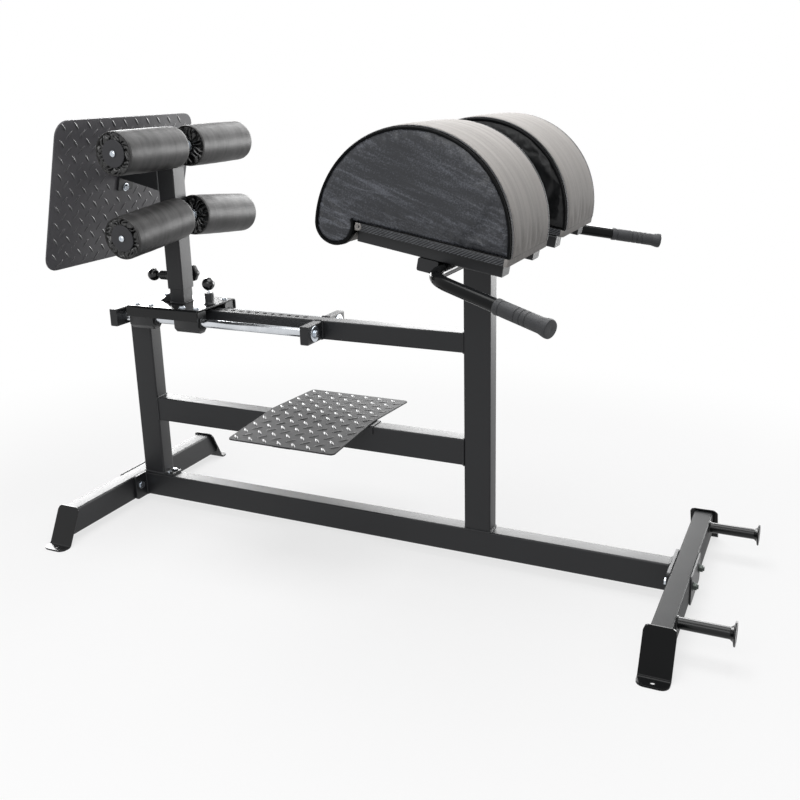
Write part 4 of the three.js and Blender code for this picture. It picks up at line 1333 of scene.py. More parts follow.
@dataclass
class Carriage:
    """The folded plate on four bearing blocks, its sprung pin, and the mast's post."""

    top: float = 667.0
    under: float = 661.9
    pin_x: float = 285.0
    spread: float = 70.0
    rod_height: float = 627.0
    block_long: float = 84.0
    block_half: float = 22.0
    block_low: float = 597.0
    mast_x: float = 184.5
    post: float = 48.0
    screw_spread: float = 25.0

    def build(self) -> None:
        """Builds the carriage."""
        refined("carriage_plate", GLOSS_COAT, 1.0)
        refined("mast_post", COAT, 0.8)
        for word, start in (("rear", 58.0), ("front", 220.0)):
            for side in Side:
                node = f"bearing_block_{word}_{side.word}"
                place = aimed((start, side.value * self.spread, self.rod_height), AXIS_X, AXIS_Z)
                made(f"{node}_form", self.block().moved(place), PLASTIC, "carriage", [node])
                made(f"{node}_screws", self.screws(start, side), ZINC, "carriage")
        made("carriage_welds", joined(*self.welds()), COAT, "carriage")
        pin, seat = SprungPin(), shift(self.pin_x, 0.0, self.top)
        made("carriage_pin_sleeve", pin.housing(0.0).moved(seat), PLASTIC, "carriage",
             ["carriage_pin_housing"])
        made("carriage_pin_neck", pin.neck(14.0).moved(seat), CHROME, "carriage_pin")
        made("carriage_pin_ball", pin.knob().moved(seat), BALL, "carriage_pin",
             ["carriage_pin"])

    def block(self) -> Surface:
        """A bearing block along local z, with a lip ring at each end and a round bore.

        Every ring has as many points as the outline, and those of the bore lie on the lines
        from its middle through the outline's points.

        Returns:
            The block.
        """
        half, low, high = self.block_half, self.block_low - self.rod_height, self.under - self.rod_height
        corners = np.array([[half - 5.0, high], [half, high - 5.0], [half, low + 12.0], [half - 12.0, low],
                            [12.0 - half, low], [-half, low + 12.0], [-half, high - 5.0], [5.0 - half, high]])
        outer = softened(corners, 2.5, 4, closed=True)
        way = unit(outer)
        stations = [(outer - 1.4 * way, 0.0), (outer, 1.4), (outer, self.block_long - 1.4),
                    (outer - 1.4 * way, self.block_long), (18.5 * way, self.block_long),
                    (18.0 * way, self.block_long + 3.4), (14.6 * way, self.block_long + 3.6),
                    (12.75 * way, self.block_long + 2.6), (12.75 * way, -2.6), (14.6 * way, -3.6),
                    (18.0 * way, -3.4), (18.5 * way, 0.0)]
        return loft(np.stack([level(flat, height) for flat, height in stations]), hoop=True)

    def screws(self, start: float, side: Side) -> Surface:
        """The two screws that hold a block up, with their washers on the plate.

        Args:
            start: x of the block's rear face.
            side: the block's side.

        Returns:
            The screws.
        """
        middle = start + self.block_long / 2
        parts = [washer(10.0, self.top, self.top + 1.4, 4.0), hex_bolt(8.0, self.top + 1.3, self.top + 5.2)]
        return joined(*(part.moved(shift(middle + way * self.screw_spread, side.value * self.spread, 0.0))
                        for part in parts for way in BOTH_WAYS))

    def welds(self) -> list[Surface]:
        """The bead round the post's foot and those along its gusset.

        Returns:
            The beads.
        """
        half = self.post / 2
        low = self.top + 1.0
        rear = self.mast_x - half
        ring = bead_round(rear, self.mast_x + half, -half, half, low)
        lines = [bead(np.array([[rear - 50.0, y, low], [rear, y, low]]), 2.4, AXIS_Z, False)
                 for y in (-5.0, 5.0)]
        return [ring, *lines]


@dataclass
class Mast:
    """The sliding sleeve with its foot plate, sprung pin and clamp knob."""

    x: float = 184.5
    size: float = 55.0
    pin_z: float = 744.0
    pin_boss: float = 8.0
    plate_x: float = 10.0
    plate_z: float = 1010.0
    lean: float = math.radians(14.2)
    half_wide: float = 296.0
    above: float = 201.0
    below: float = 223.0
    margin: float = 10.0
    corner: float = 42.0
    corner_tread: float = 32.0
    mount: Triple = (48.0, -32.0, 94.0)
    first_bar: tuple[float, float] = (-244.2, 161.1)
    pitch: tuple[float, float] = (49.7, 45.8)
    knob_radius: float = 26.0
    knob_lobes: int = 6
    knob_dip: float = 1.5

    def build(self) -> None:
        """Builds the mast."""
        refined("mast_sleeve", COAT, 1.0)
        refined("foot_plate_arm", COAT, 0.8)
        refined("foot_plate", TREAD, 0.8)
        made("foot_plate_bars", self.bars(), TREAD_BAR, "mast")
        # The arm's weld bead takes the light coat, a painted highlight for its glints.
        made("mast_welds", joined(*self.welds()), WELD_GLINT, "mast")
        made("foot_plate_bolts", joined(*self.plate_bolts()), ZINC, "mast")
        pin = SprungPin()
        seat = aimed((self.x - self.size / 2 - self.pin_boss, 0.0, self.pin_z), -AXIS_X)
        made("mast_pin_sleeve", pin.housing(self.pin_boss).moved(seat), PLASTIC, "mast", ["mast_pin_housing"])
        made("mast_pin_neck", pin.neck(11.5).moved(seat), CHROME, "mast_pin")
        made("mast_pin_ball", pin.knob().moved(seat), BALL, "mast_pin", ["mast_pin"])
        made("clamp_knob_form", self.knob(), PLASTIC, "clamp_knob", ["clamp_knob"])

    def plane(self) -> Array:
        """The foot plate's own place: local x is its face, y runs across and z up its slope."""
        return shift(self.plate_x, 0.0, self.plate_z) @ turn(AXIS_Y, self.lean)

    def bars(self) -> Surface:
        """The tread on the face towards the rollers, clear of the arm's mounting plate.

        Returns:
            The bars.
        """
        limits = (-self.half_wide + self.margin, self.half_wide - self.margin,
                  -self.below + self.margin, self.above - self.margin)
        return Tread().field(self.first_bar, self.pitch, limits, self.keep, self.lift)

    def keep(self, spots: Array) -> Array:
        """Tells which places lie off the mounting plate and inside the plate's round corners.

        Args:
            spots: rows of u, v and angle.

        Returns:
            True where a bar stands.
        """
        half, low, high = self.mount
        u, v = np.abs(spots[:, 0]), spots[:, 1]
        over_u = u - (self.half_wide - self.corner)
        over_v = np.maximum(v - (self.above - self.corner), -v - (self.below - self.corner))
        outside = (over_u > 0) & (over_v > 0) & (np.hypot(over_u, over_v) > self.corner_tread)
        return ~((u < half) & (v > low) & (v < high)) & ~outside

    def lift(self, spots: Array) -> Array:
        """Places on the plate's face: local x runs along a bar and local z away from the face.

        Args:
            spots: rows of u, v and angle.

        Returns:
            The matrices.
        """
        c, s = np.cos(spots[:, 2]), np.sin(spots[:, 2])
        none = 0 * c
        axes = ([none, c, s], [none, -s, c], [none + 1, none, none], [none, spots[:, 0], spots[:, 1]])
        return self.plane() @ frames(*(np.column_stack(axis) for axis in axes))

    def welds(self) -> list[Surface]:
        """The beads where the arm meets the sleeve.

        Returns:
            The beads.
        """
        rear = self.x - self.size / 2 - 1.0
        low, high = self.plate_z - 13.0, self.plate_z + 44.0
        lines = [np.array([[rear, y, low], [rear, y, high]]) for y in (-25.0, 25.0)]
        return [bead(line, 3.0, AXIS_X, False) for line in lines]

    def plate_bolts(self) -> list[Surface]:
        """The washers and heads of the two bolts through the arm's mounting plate.

        Returns:
            The washers and heads.
        """
        parts = [washer(12.0, 0.0, 1.6, 5.0), hex_bolt(9.0, 1.5, 6.6)]
        return [part.moved(self.plane() @ aimed((6.3, 0.0, z), AXIS_X))
                for part in parts for z in (62.0, -6.0)]

    def knob(self) -> Surface:
        """The clamp knob: a lobed grip with soft edges, a hub and a screw, along +y.

        The grip's radius is 26 + dip (cos(lobes x a) - 1), and its rim is drawn in at both faces.

        Returns:
            The knob with its screw.
        """
        angle, rim = angles(120), self.knob_radius
        reach = 1.0 + self.knob_dip / rim * (np.cos(self.knob_lobes * angle) - 1)
        line = softened(np.array([[0.0, 47.6], [rim - 3.5, 47.6], [rim, 50.4], [rim, 62.6], [rim - 3.5, 65.4],
                                  [14.0, 65.4], [12.5, 64.2], [0.0, 64.2]]), 2.0, 4)
        grip = loft(around(line[:, :1] * reach, angle, line[:, 1:]))
        neck = np.array([[0, 38.6], [11.0, 38.6], [12.0, 46.0], [12.0, 48.6], [0, 48.6]])
        hub = turned(softened(neck, 1.0), 40)
        stem = screw_thread(5.0, 24.4, 40.0)
        return joined(grip, hub, stem).moved(aimed((self.x, 0.0, self.pin_z), AXIS_Y, AXIS_Z))


@dataclass
class AnkleRollers:
    """Four padded rollers on two axles: the upper level, the lower drooping outwards."""

    radius: float = 58.0
    inner: float = 32.5
    long: float = 249.5
    cap: float = 36.0
    axle_x: float = 224.8
    upper: float = 1121.0
    lower: float = 926.0
    droop: float = math.radians(5.3)

    def build(self) -> None:
        """Builds the rollers and their axles."""
        for word, height, droop in (("upper", self.upper, 0.0), ("lower", self.lower, self.droop)):
            parts = []
            for side in Side:
                matrix = self.place(height, droop, side)
                name = f"{word}_roller_{side.word}"
                sleeve = made(f"{name}_sleeve", self.sleeve().moved(matrix), ROLLER_VINYL, name, [name], 60.0)
                seed = (3 if word == "upper" else 7) + side.value
                # The gathers take the near-black vinyl, painted shade in the folds of the ends.
                made(f"{name}_gathers", self.gathers(seed).moved(matrix), SHADED_GATHERED, name, sharp=50.0)
                made(f"{name}_cap", self.end_cap().moved(matrix), CAP, name)
                parts.append(self.half_axle().moved(matrix))
            made(f"{word}_roller_axle_form", joined(*parts), ZINC, "mast",
                 [f"{word}_roller_axle"])

    def place(self, height: float, droop: float, side: Side) -> Array:
        """The place of one roller: local z runs out along its axle from the mast's middle."""
        way = np.array([0.0, side.value * math.cos(droop), -math.sin(droop)])
        return aimed((self.axle_x, 0.0, height), way, AXIS_X)

    def sleeve(self) -> Surface:
        """The padded cover: a slightly barrelled body with a welted rim round each flat end.

        Its radius also swings by 0.5 of an uneven ripple over its length and girth.

        Returns:
            The cover, along local z.
        """
        start, end, r = self.inner, self.inner + self.long, self.radius
        corners = np.array([
            [13.4, start + 10.0], [50.0, start + 10.0], [53.0, start + 3.4], [54.5, start + 0.5],
            [56.4, start + 0.1], [r - 0.3, start + 1.6], [r - 0.9, start + 3.4], [r, start + 5.0],
            [r + 0.9, (start + end) / 2], [r, end - 5.0], [r - 0.9, end - 3.4], [r - 0.3, end - 1.6],
            [56.4, end - 0.1], [54.5, end - 0.5], [53.0, end - 3.4], [50.0, end - 10.0], [13.4, end - 10.0]])
        line = resampled(softened(corners, 2.2, 4, closed=True), 1.5, True)
        angle, height = angles(120), line[:, 1:]
        wide = np.clip((line[:, :1] - 54.0) / 3.0, 0, 1)
        radius = line[:, :1] + 0.5 * ripple(height, angle * r, 90.0, 5) * wide
        return loft(around(radius, angle, height), hoop=True)

    def gathers(self, seed: int) -> Surface:
        """The puckered rings of vinyl inside both rims: to the cap outside, to the axle inside.

        Args:
            seed: number that fixes their folds.

        Returns:
            Both rings.
        """
        start, end = self.inner, self.inner + self.long
        outer = self.pucker(np.array([54.6, end - 2.0]), np.array([34.0, end - 4.0]), 19, 1.0, seed)
        inner = self.pucker(np.array([54.6, start + 2.0]), np.array([18.0, start + 4.6]), 15, -1.0, seed + 20)
        return joined(outer, inner)

    def pucker(self, rim: Array, hole: Array, folds: int, way: float, seed: int) -> Surface:
        """A closed ring with folds between a rim and a hole, each given by radius and height.

        A fold stands between creases of depth 7 (1 - |sin(folds x angle / 2)|)^0.9, which fade
        at the rim. The angle drifts from fold to fold, and each fold bends a little way round.

        Args:
            rim: radius and height of its outer edge.
            hole: radius and height of its inner edge.
            folds: how many folds go round.
            way: the way that it faces, along local z.
            seed: number that fixes the drift of its folds.

        Returns:
            The closed ring.
        """
        random = np.random.default_rng(seed)
        angle = angles(folds * 12)
        drift = sum(random.uniform(-0.05, 0.05) * np.sin(k * angle + k) for k in range(2, 7))
        t = np.linspace(0.0, 1.0, 14)[:, None]
        bend = 0.1 * np.sin(3 * angle + 4 * t + seed) + 0.05 * np.sin(7 * angle - 6 * t)
        crease = (1 - np.abs(np.sin(folds * (angle + drift + bend) / 2))) ** 0.9
        size = random.uniform(0.6, 1.3, folds)[(angle / (2 * math.pi) * folds).astype(int) % folds]
        depth = 7.0 * np.sin(math.pi * np.clip(0.1 + 0.85 * t, 0, 1)) ** 0.6 * crease * size
        swell = 2.6 * np.sin(math.pi * t)
        radius = rim[0] + (hole[0] - rim[0]) * t + 0 * angle
        height = rim[1] + (hole[1] - rim[1]) * t + way * (swell - depth)
        face = around(radius, angle, height)
        back = face[[-1, 0]].copy()
        back[..., 2] = rim[1] - way * 14.0
        return loft(np.concatenate([face, back]), hoop=True)

    def end_cap(self) -> Surface:
        """The flat disc in the outer end, with an eased rim and a shallow dish for its screw.

        Returns:
            The disc.
        """
        end = self.inner + self.long
        corners = np.array([[5.5, end - 5.0], [35.0, end - 5.0], [self.cap, end - 4.0], [self.cap, end - 1.0],
                            [35.0, end + 0.2], [13.0, end + 0.2], [11.5, end - 0.3], [5.5, end - 0.3]])
        return turned(softened(corners, 0.8, 3, closed=True), 64, hoop=True)

    def half_axle(self) -> Surface:
        """Half an axle: bar, collar, and the domed screw that holds the cap.

        Returns:
            The half axle.
        """
        end = self.inner + self.long
        low = self.inner - 4.2
        corners = np.array([
            [0, -6.0], [12.5, -6.0], [12.5, low], [17.0, low], [17.0, low + 3.8], [12.5, low + 3.8],
            [12.5, end - 5.4], [5.0, end - 5.4], [5.0, end + 0.3], [9.0, end + 0.3], [8.4, end + 3.0],
            [5.6, end + 5.2], [3.4, end + 5.2], [3.0, end + 2.6], [0, end + 2.6]])
        return turned(softened(corners, 0.6, 3), 40)


@dataclass
class PadDeck:
    """The tilted deck: domed pads on boards, carriers, cross beam, handlebar and grips."""

    x: float = 1097.0
    z: float = 958.0
    tilt: float = math.radians(10.4)
    radius: float = 237.0
    drop: float = 3.0
    lobe: float = 50.0
    lobe_drop: float = 15.0
    inner: float = 71.0
    wide: float = 290.0
    crown: float = 3.0
    welt: float = 7.0
    strip: float = 13.0
    stitch_pitch: float = 6.2
    mesh_step: float = 4.0
    rolled: float = 7.0
    roll_wide: float = 22.0
    wrap_swell: float = 3.0
    panel_swell: float = 5.0
    dome_steps: int = 111
    lobe_steps: int = 41
    board: float = 18.0
    beam_top: float = -48.6
    beam_front: float = 72.0
    corner: float = 420.0
    splay: float = math.radians(23.5)
    arm_long: float = 342.0
    bend: float = 60.0
    bar_radius: float = 15.0
    grip_long: float = 141.0

    @property
    def half(self) -> float:
        """Half a pad's width."""
        return self.wide / 2

    @property
    def deck(self) -> Array:
        """The deck's own place: local x runs down its slope and z away from it."""
        return shift(self.x, 0.0, self.z) @ turn(AXIS_Y, self.tilt)

    @property
    def lobe_x(self) -> float:
        """Where the lobe's middle lies, so that its arc goes on from the dome's."""
        return -math.sqrt((self.radius - self.lobe) ** 2 - (self.lobe_drop - self.drop) ** 2)

    def pad_place(self, side: Side) -> Array:
        """The place of a pad and its board, with y = 0 in their middle."""
        return self.deck @ shift(0.0, side.value * (self.inner + self.half), 0.0)

    def build(self) -> None:
        """Builds the deck."""
        refined("pad_cross_beam", COAT, 1.0)
        for side in Side:
            for row in ("outer", "inner"):
                refined(f"pad_carrier_{side.word}_{row}", COAT, 1.0)
            self.build_pad(side)
            self.build_board(side)
            grip = self.grip().moved(self.arm_place(side, self.arm_long - self.grip_long))
            made(f"hand_grip_{side.word}_form", grip.moved(self.deck), RUBBER, "frame",
                 [f"hand_grip_{side.word}"])
        made("handlebar_form", self.handlebar().moved(self.deck), BAR_COAT, "frame", ["handlebar"])

    def outline(self, inset: Array, base: float | None = None) -> Array:
        """The pad's side outline, drawn in by insets: dome, rear lobe and flat underside.

        The dome is an arc of radius - inset about (0, -drop) and the lobe one of
        lobe - inset about (lobe_x, -lobe_drop). The underside lies at max(0, inset - 3).

        Args:
            inset: one inset for each outline.
            base: height of the underside, in place of the one that follows the inset.

        Returns:
            Points x and z of shape (insets, points, 2).
        """
        inset = np.asarray(inset, float)[:, None]
        low = np.maximum(0.0, inset - 3.0) if base is None else base + 0 * inset
        small, big = self.lobe - inset, self.radius - inset
        meet = math.pi + math.atan2(self.lobe_drop - self.drop, -self.lobe_x)
        first = np.arcsin((self.drop + low) / big)
        rise = np.arcsin((self.lobe_drop + low) / small)
        t = np.linspace(0.0, 1.0, self.dome_steps)[None]
        dome_angle = first + (meet - first) * t
        dome = np.stack([big * np.cos(dome_angle), big * np.sin(dome_angle) - self.drop], axis=-1)
        t = np.linspace(0.0, 1.0, self.lobe_steps)[None, 1:]
        lobe_angle = meet + (2 * math.pi + rise - meet) * t
        lobe = np.stack([self.lobe_x + small * np.cos(lobe_angle),
                         small * np.sin(lobe_angle) - self.lobe_drop], axis=-1)
        t = np.linspace(0.0, 1.0, 49)[None, 1:-1, None]
        under = lobe[:, -1:] + (dome[:, :1] - lobe[:, -1:]) * t
        return np.concatenate([dome, lobe, under], axis=1)

    def ring(self, y: Array, inset: Array) -> Array:
        """Outlines at places across the pad, as rings in the deck's axes.

        Args:
            y: places across the pad.
            inset: one inset for each.

        Returns:
            The rings.
        """
        flat = self.outline(inset)
        across = np.broadcast_to(np.asarray(y, float)[:, None], flat.shape[:2])
        return np.stack([flat[..., 0], across, flat[..., 1] + 0.3], axis=-1)

    def edge_line(self, y: float, inset: float) -> Array:
        """The line over dome and lobe at one place across the pad, with both ends on the board.

        Args:
            y: place across the pad.
            inset: how far inside the outline it runs.

        Returns:
            The line's points.
        """
        arcs = self.outline(np.array([inset]), max(inset, 0.6))[0, :self.dome_steps + self.lobe_steps - 1]
        flat = np.concatenate([arcs[:1], arcs, arcs[-1:]])
        flat[[0, -1], 1] = 0.5
        return np.column_stack([flat[:, 0], np.full(len(flat), y), flat[:, 1] + 0.3])

    def wrap(self) -> Surface:
        """The pad's body under its wrap, crowned in the middle and rounded at both edges.

        The inset at y is -0.4 crown (1 - (y / half)^2) plus a quarter round of 4 at each edge,
        with a slight unevenness of the dome.

        Returns:
            The closed body.
        """
        half, edge = self.half - self.welt - 3.0, 4.0
        middle = np.array([-60.0, 0.0, 40.0])
        t = np.sin(np.linspace(-math.pi / 2, math.pi / 2, 49))
        y = half * t
        over = np.clip(np.abs(y) - (half - edge), 0, edge)
        inset = -0.4 * self.crown * (1 - t**2) + edge - np.sqrt(edge**2 - over**2)
        rings = self.ring(y, inset)
        along = np.arange(rings.shape[1]) * 6.6
        wave = 0.45 * ripple(along[None], y[:, None] * 1.6, 210.0, 4) * (1 - t[:, None] ** 4)
        outward = unit(rings - middle) * (rings[..., 2:] > 4.0)
        outward[..., 1] = 0.0
        return loft(rings + outward * wave[..., None])

    def panel(self, way: float, seed: int) -> Surface:
        """A side panel: a shallow pillow inside the welt, with drawn wrinkles.

        Its height over the distance d from its edge is rolled x (1 - (1 - d / roll_wide)^2) up to
        roll_wide, plus a low belly, plus wrinkles that run down towards the front.

        Args:
            way: -1 or 1, the side that it faces.
            seed: number that fixes its wrinkles.

        Returns:
            The closed surface.
        """
        edge = self.outline(np.array([self.welt - 2.5]), 0.8)[0]
        flat, faces = self.triangles(edge)
        gap = gaps(flat, edge).min(1)
        rolled = self.rolled * (1 - (1 - np.clip(gap / self.roll_wide, 0, 1)) ** 2)
        belly = 0.6 * np.clip(gap / 80.0, 0, 1)
        u = flat[:, 0] * 0.9 + flat[:, 1] * -0.43
        v = flat[:, 0] * 0.43 + flat[:, 1] * 0.9
        drawn = np.clip(gap / 20.0, 0, 1) * 0.7 * ripple(u / 4.5, v, 30.0, seed, 2)
        height = self.half - 8.5 + rolled + belly + drawn * (gap > 1.0)
        front = np.column_stack([flat[:, 0], way * height, flat[:, 1] + SEAT_GAP])
        back = front.copy()
        back[:, 1] = way * (self.half - 13.0)
        count = len(flat)
        near = gaps(edge, flat).argmin(1)
        beside = np.roll(near, -1)
        wall = np.column_stack([near, beside, beside + count, near + count])
        triangles = np.column_stack([faces, faces[:, 2]])
        turned_back = np.column_stack([faces[:, ::-1], faces[:, 0]]) + count
        return Surface(np.concatenate([front, back]), np.concatenate([triangles, turned_back, wall]))

    def triangles(self, edge: Array) -> tuple[Array, Array]:
        """Fills a closed line with even triangles, whose rows are shifted by half a step in turn.

        Args:
            edge: points x and z of the line.

        Returns:
            Points x and z, and triangles.
        """
        step = self.mesh_step
        x, z = np.meshgrid(np.arange(-240.0, 240.0, step), np.arange(-70.0, 240.0, step))
        spots = np.column_stack([x.ravel(), z.ravel()])
        spots[:, 0] += step / 2 * (np.round(spots[:, 1] / step) % 2)
        spots = spots[(gaps(spots, edge).min(1) > 2.6) & self.inside(spots, edge)]
        flat = [Vector(spot) for spot in np.concatenate([edge, spots])]
        points, _, faces, *_ = delaunay_2d_cdt(flat, [], [list(range(len(edge)))], 1, 1e-4)
        corners = np.array([tuple(point) for point in points])
        return corners, np.array([face for face in faces if len(face) == 3])

    def inside(self, spots: Array, edge: Array) -> Array:
        """Which places lie inside a closed line, by the number of its sides that they pass under.

        Args:
            spots: points x and z.
            edge: the line's points.

        Returns:
            True where inside.
        """
        after = np.roll(edge, -1, axis=0)
        x, z = spots[:, :1], spots[:, 1:]
        spans = (edge[:, 0] > x) != (after[:, 0] > x)
        run = np.where(np.abs(after[:, 0] - edge[:, 0]) < 1e-9, 1e-9, after[:, 0] - edge[:, 0])
        height = edge[:, 1] + (x - edge[:, 0]) / run * (after[:, 1] - edge[:, 1])
        return (spans & (z < height)).sum(1) % 2 == 1

    def cord(self, way: float, back: float, inset: float, radius: float) -> Surface:
        """A round cord over dome and lobe, some way back from the side that it is on."""
        line = self.edge_line(way * (self.half - back), inset)
        return swept(resampled(line, 4.0), circle(radius, 20 if radius > 5 else 8), AXIS_Y)

    def tape(self, way: float) -> Surface:
        """The dark strip of vinyl between the welt and the wrap, as a flat band over dome and lobe.

        Args:
            way: -1 or 1, the edge that it lies on.

        Returns:
            The band.
        """
        half = self.strip / 2
        line = self.edge_line(way * (self.half - self.welt - half), 0.2)
        return swept(resampled(line, 4.0), rounded_rect(-1.2, 1.2, -half, half, 0.9, 2), AXIS_Y)

    def stitches(self, way: float) -> Surface:
        """The slanted stitches along the middle of the strip, each a thin lens.

        Args:
            way: -1 or 1, the edge that they lie on.

        Returns:
            The stitches.
        """
        middle = np.array([-60.0, 0.0, 60.0])
        line = self.edge_line(way * (self.half - self.welt - self.strip * 0.45), -0.6)
        loop = resampled(line, self.stitch_pitch)
        tangent = unit(np.gradient(loop, axis=0))
        lift = unit(np.cross(tangent, AXIS_Y))
        lift *= np.sign((lift * (loop - middle)).sum(1))[:, None]
        along = unit(tangent * 0.8 + np.cross(lift, tangent) * 0.6)
        places = frames(along, np.cross(lift, along), lift, loop)
        return Tread(6.4, 2.0, 1.2).bar().scattered(places[2:-2])

    def build_pad(self, side: Side) -> None:
        """Builds one pad: body and side panels, and the trim of both its edges.

        Args:
            side: the pad's side.
        """
        place, word, radius = self.pad_place(side), side.word, self.welt / 2
        body = made(f"pad_{word}_wrap", self.wrap().moved(place), WRAP_VINYL, "frame", [f"pad_{word}"], 50.0)
        spots, seam = self.own_places(body, place), self.half - self.welt - self.strip - 3.0
        filled(body, (spots[:, 2] < 6.0) | (np.abs(spots[:, 1]) > seam), self.wrap_swell)
        for way, edge in ((-1.0, "a"), (1.0, "b")):
            # The panel towards the other pad takes the darker vinyl, painted shade for the gap.
            finish = SHADED_INNER_VINYL if way * side.value < 0 else SIDE_VINYL
            panel = made(f"pad_{word}_side_{edge}", self.panel(way, 11 + side.value).moved(place),
                         finish, "frame", sharp=60.0)
            filled(panel, way * self.own_places(panel, place)[:, 1] < self.half - 8.4, self.panel_swell)
        for name, finish, trim in (
                ("welts", PIPING, lambda way: self.cord(way, radius + 0.5, radius + 0.5, radius)),
                ("strips", PIPING, self.tape),
                ("seams", WRAP_VINYL, lambda way: self.cord(way, self.welt + self.strip + 1.6, -0.4, 1.7)),
                ("stitches", THREAD, self.stitches),
                ("rolls", WRAP_VINYL, self.roll)):
            made(f"pad_{word}_{name}", both(trim).moved(place), finish, "frame")

    def own_places(self, piece: bpy.types.Object, place: Array) -> Array:
        """The places of a piece's vertices in the pad's own frame, in millimetres."""
        spots = places_of(piece.data) / METRE - DRAWING_SHIFT
        return Surface(spots, np.zeros((0, 4), int)).moved(np.linalg.inv(place)).points

    def roll(self, way: float) -> Surface:
        """The rolled end of the wrap at a rear corner of the board, as a short hollow roll.

        Args:
            way: -1 or 1, the edge that it lies on.

        Returns:
            The roll.
        """
        half = self.half
        corners = np.array([[3.2, half - 14.0], [8.6, half - 14.0], [8.6, half + 0.6], [6.0, half + 1.6],
                            [3.2, half]])
        ring = turned(softened(corners, 1.2, 3, closed=True), 32, hoop=True)
        return ring.moved(aimed((self.lobe_x + self.lobe + 12.6, 0.0, -8.9), way * AXIS_Y, AXIS_Z))

    def build_board(self, side: Side) -> None:
        """Builds the board under a pad, with its ribbed bands and its covered ends.

        Args:
            side: the board's side.
        """
        place, word, half, low = self.pad_place(side), side.word, self.half, -self.board
        rear, front = self.lobe_x + self.lobe + self.crown + 1.0, self.radius - 1.0
        plan = rounded_rect(rear + 1.0, front - 1.5, -half + 1.5, half - 1.5, 5.0)
        middle = (rear + front) / 2
        stations = [(0.995, low), (1.0, low + 1.0), (1.0, -1.0), (0.995, 0.0)]
        slab = stacked(plan - np.array([middle, 0.0]), stations).moved(shift(middle, 0.0, 0.0))
        made(f"pad_board_{word}_form", slab.moved(place), BOARD_COAT, "frame", [f"pad_board_{word}"])
        bands = both(lambda way: self.band(rear + 2.0, front - 3.0, way))
        made(f"pad_board_{word}_bands", bands.moved(place), BAND, "frame", sharp=70.0)
        ends = joined(self.end_cover(front, 1.0), self.end_cover(rear, -1.0))
        made(f"pad_board_{word}_covers", ends.moved(place), WRAP_VINYL, "frame")
        line = np.array([[front - 0.4, y, -0.2] for y in np.linspace(-half + 3, half - 3, 40)])
        made(f"pad_{word}_front_cord", swept(line, circle(1.5, 10), AXIS_Z).moved(place), PIPING,
             "frame")

    def band(self, rear: float, front: float, way: float) -> Surface:
        """A ribbed band along one side of a board.

        It swings by 1.2 cos(2 pi (x - 1.4 z) / 9), so that its ribs lean.

        Args:
            rear: where it starts.
            front: where it ends.
            way: -1 or 1, its side.

        Returns:
            The band.
        """
        x = np.arange(rear, front, 1.0)
        z = np.linspace(-self.board + 1.2, -1.2, 8)
        out = self.half - 1.2 + 1.2 * np.cos(2 * math.pi * (x[:, None] - 1.4 * z[None]) / 9.0)
        face = np.stack([x[:, None] + 0 * out, way * out, z + 0 * out], axis=-1)
        back = face[:, ::-1].copy()
        back[..., 1] = way * (self.half - 3.0)
        return loft(np.concatenate([face, back], axis=1))

    def end_cover(self, x: float, way: float) -> Surface:
        """The vinyl that is drawn over an end of a board, round its corners.

        Args:
            x: the board's end.
            way: -1 or 1, the way that the end faces.

        Returns:
            The cover.
        """
        half = self.half
        line = np.array([[x - way * 9.0, -half + 0.4], [x - way * 0.6, -half + 0.4],
                         [x - way * 0.6, half - 0.4], [x - way * 9.0, half - 0.4]])
        path = level(softened(line, 5.0, 6), -self.board / 2)
        section = rounded_rect(-0.7, 0.7, -self.board / 2 + 0.3, self.board / 2 - 0.3, 0.6, 2)
        return swept(path, section, AXIS_Z)

    def arm(self, sign: float) -> tuple[Array, Array]:
        """The handlebar's corner on one side, and the way that its arm runs from there.

        Args:
            sign: the sign of y on its side.

        Returns:
            The corner and the way.
        """
        x = self.beam_front + SEAT_GAP + self.bar_radius
        corner = np.array([x, sign * self.corner, self.beam_top - self.bar_radius])
        return corner, np.array([math.cos(self.splay), sign * math.sin(self.splay), 0.0])

    def arm_place(self, side: Side, along: float) -> Array:
        """The place on a handlebar's arm, with local z along the arm."""
        corner, way = self.arm(side.value)
        return aimed(corner + way * along, way, AXIS_Z)

    def handlebar(self) -> Surface:
        """The bent bar: two splayed arms and a straight middle, joined by quarter-like bends.

        A bend is (1 - s)^2 a + 2 s (1 - s) corner + s^2 b between points bend away from the corner.

        Returns:
            The bar.
        """
        (near, near_way), (far, far_way) = (self.arm(sign) for sign in BOTH_WAYS)
        reach = self.arm_long - 4.5
        path = np.array([near + near_way * reach, near, far, far + far_way * reach])
        smooth = resampled(softened(path, self.bend, 24), 7.0)
        return swept(smooth, circle(self.bar_radius, 32), AXIS_Z)

    def grip(self) -> Surface:
        """A rubber grip: ring near its mouth, three grooves, and a flared closed end.

        Returns:
            The grip, along local z.
        """
        end, r = self.grip_long, 17.0
        rows = [[15.3, 0.0], [r + 0.6, 0.0], [r + 0.6, 6.0], [r, 7.0]]
        for share in (0.09, 0.4, 0.5, 0.6):
            at = share * end
            rows += [[r, at], [r - 1.5, at + 0.4], [r - 1.5, at + 2.6], [r, at + 3.0]]
        rows += [[r, end - 24.0], [19.6, end - 11.0], [20.2, end - 6.0], [19.8, end - 1.2], [17.6, end],
                 [0.0, end], [0.0, end - 4.0], [15.3, end - 4.0]]
        return turned(softened(np.array(rows), 0.9, 3, closed=True), 56, hoop=True)


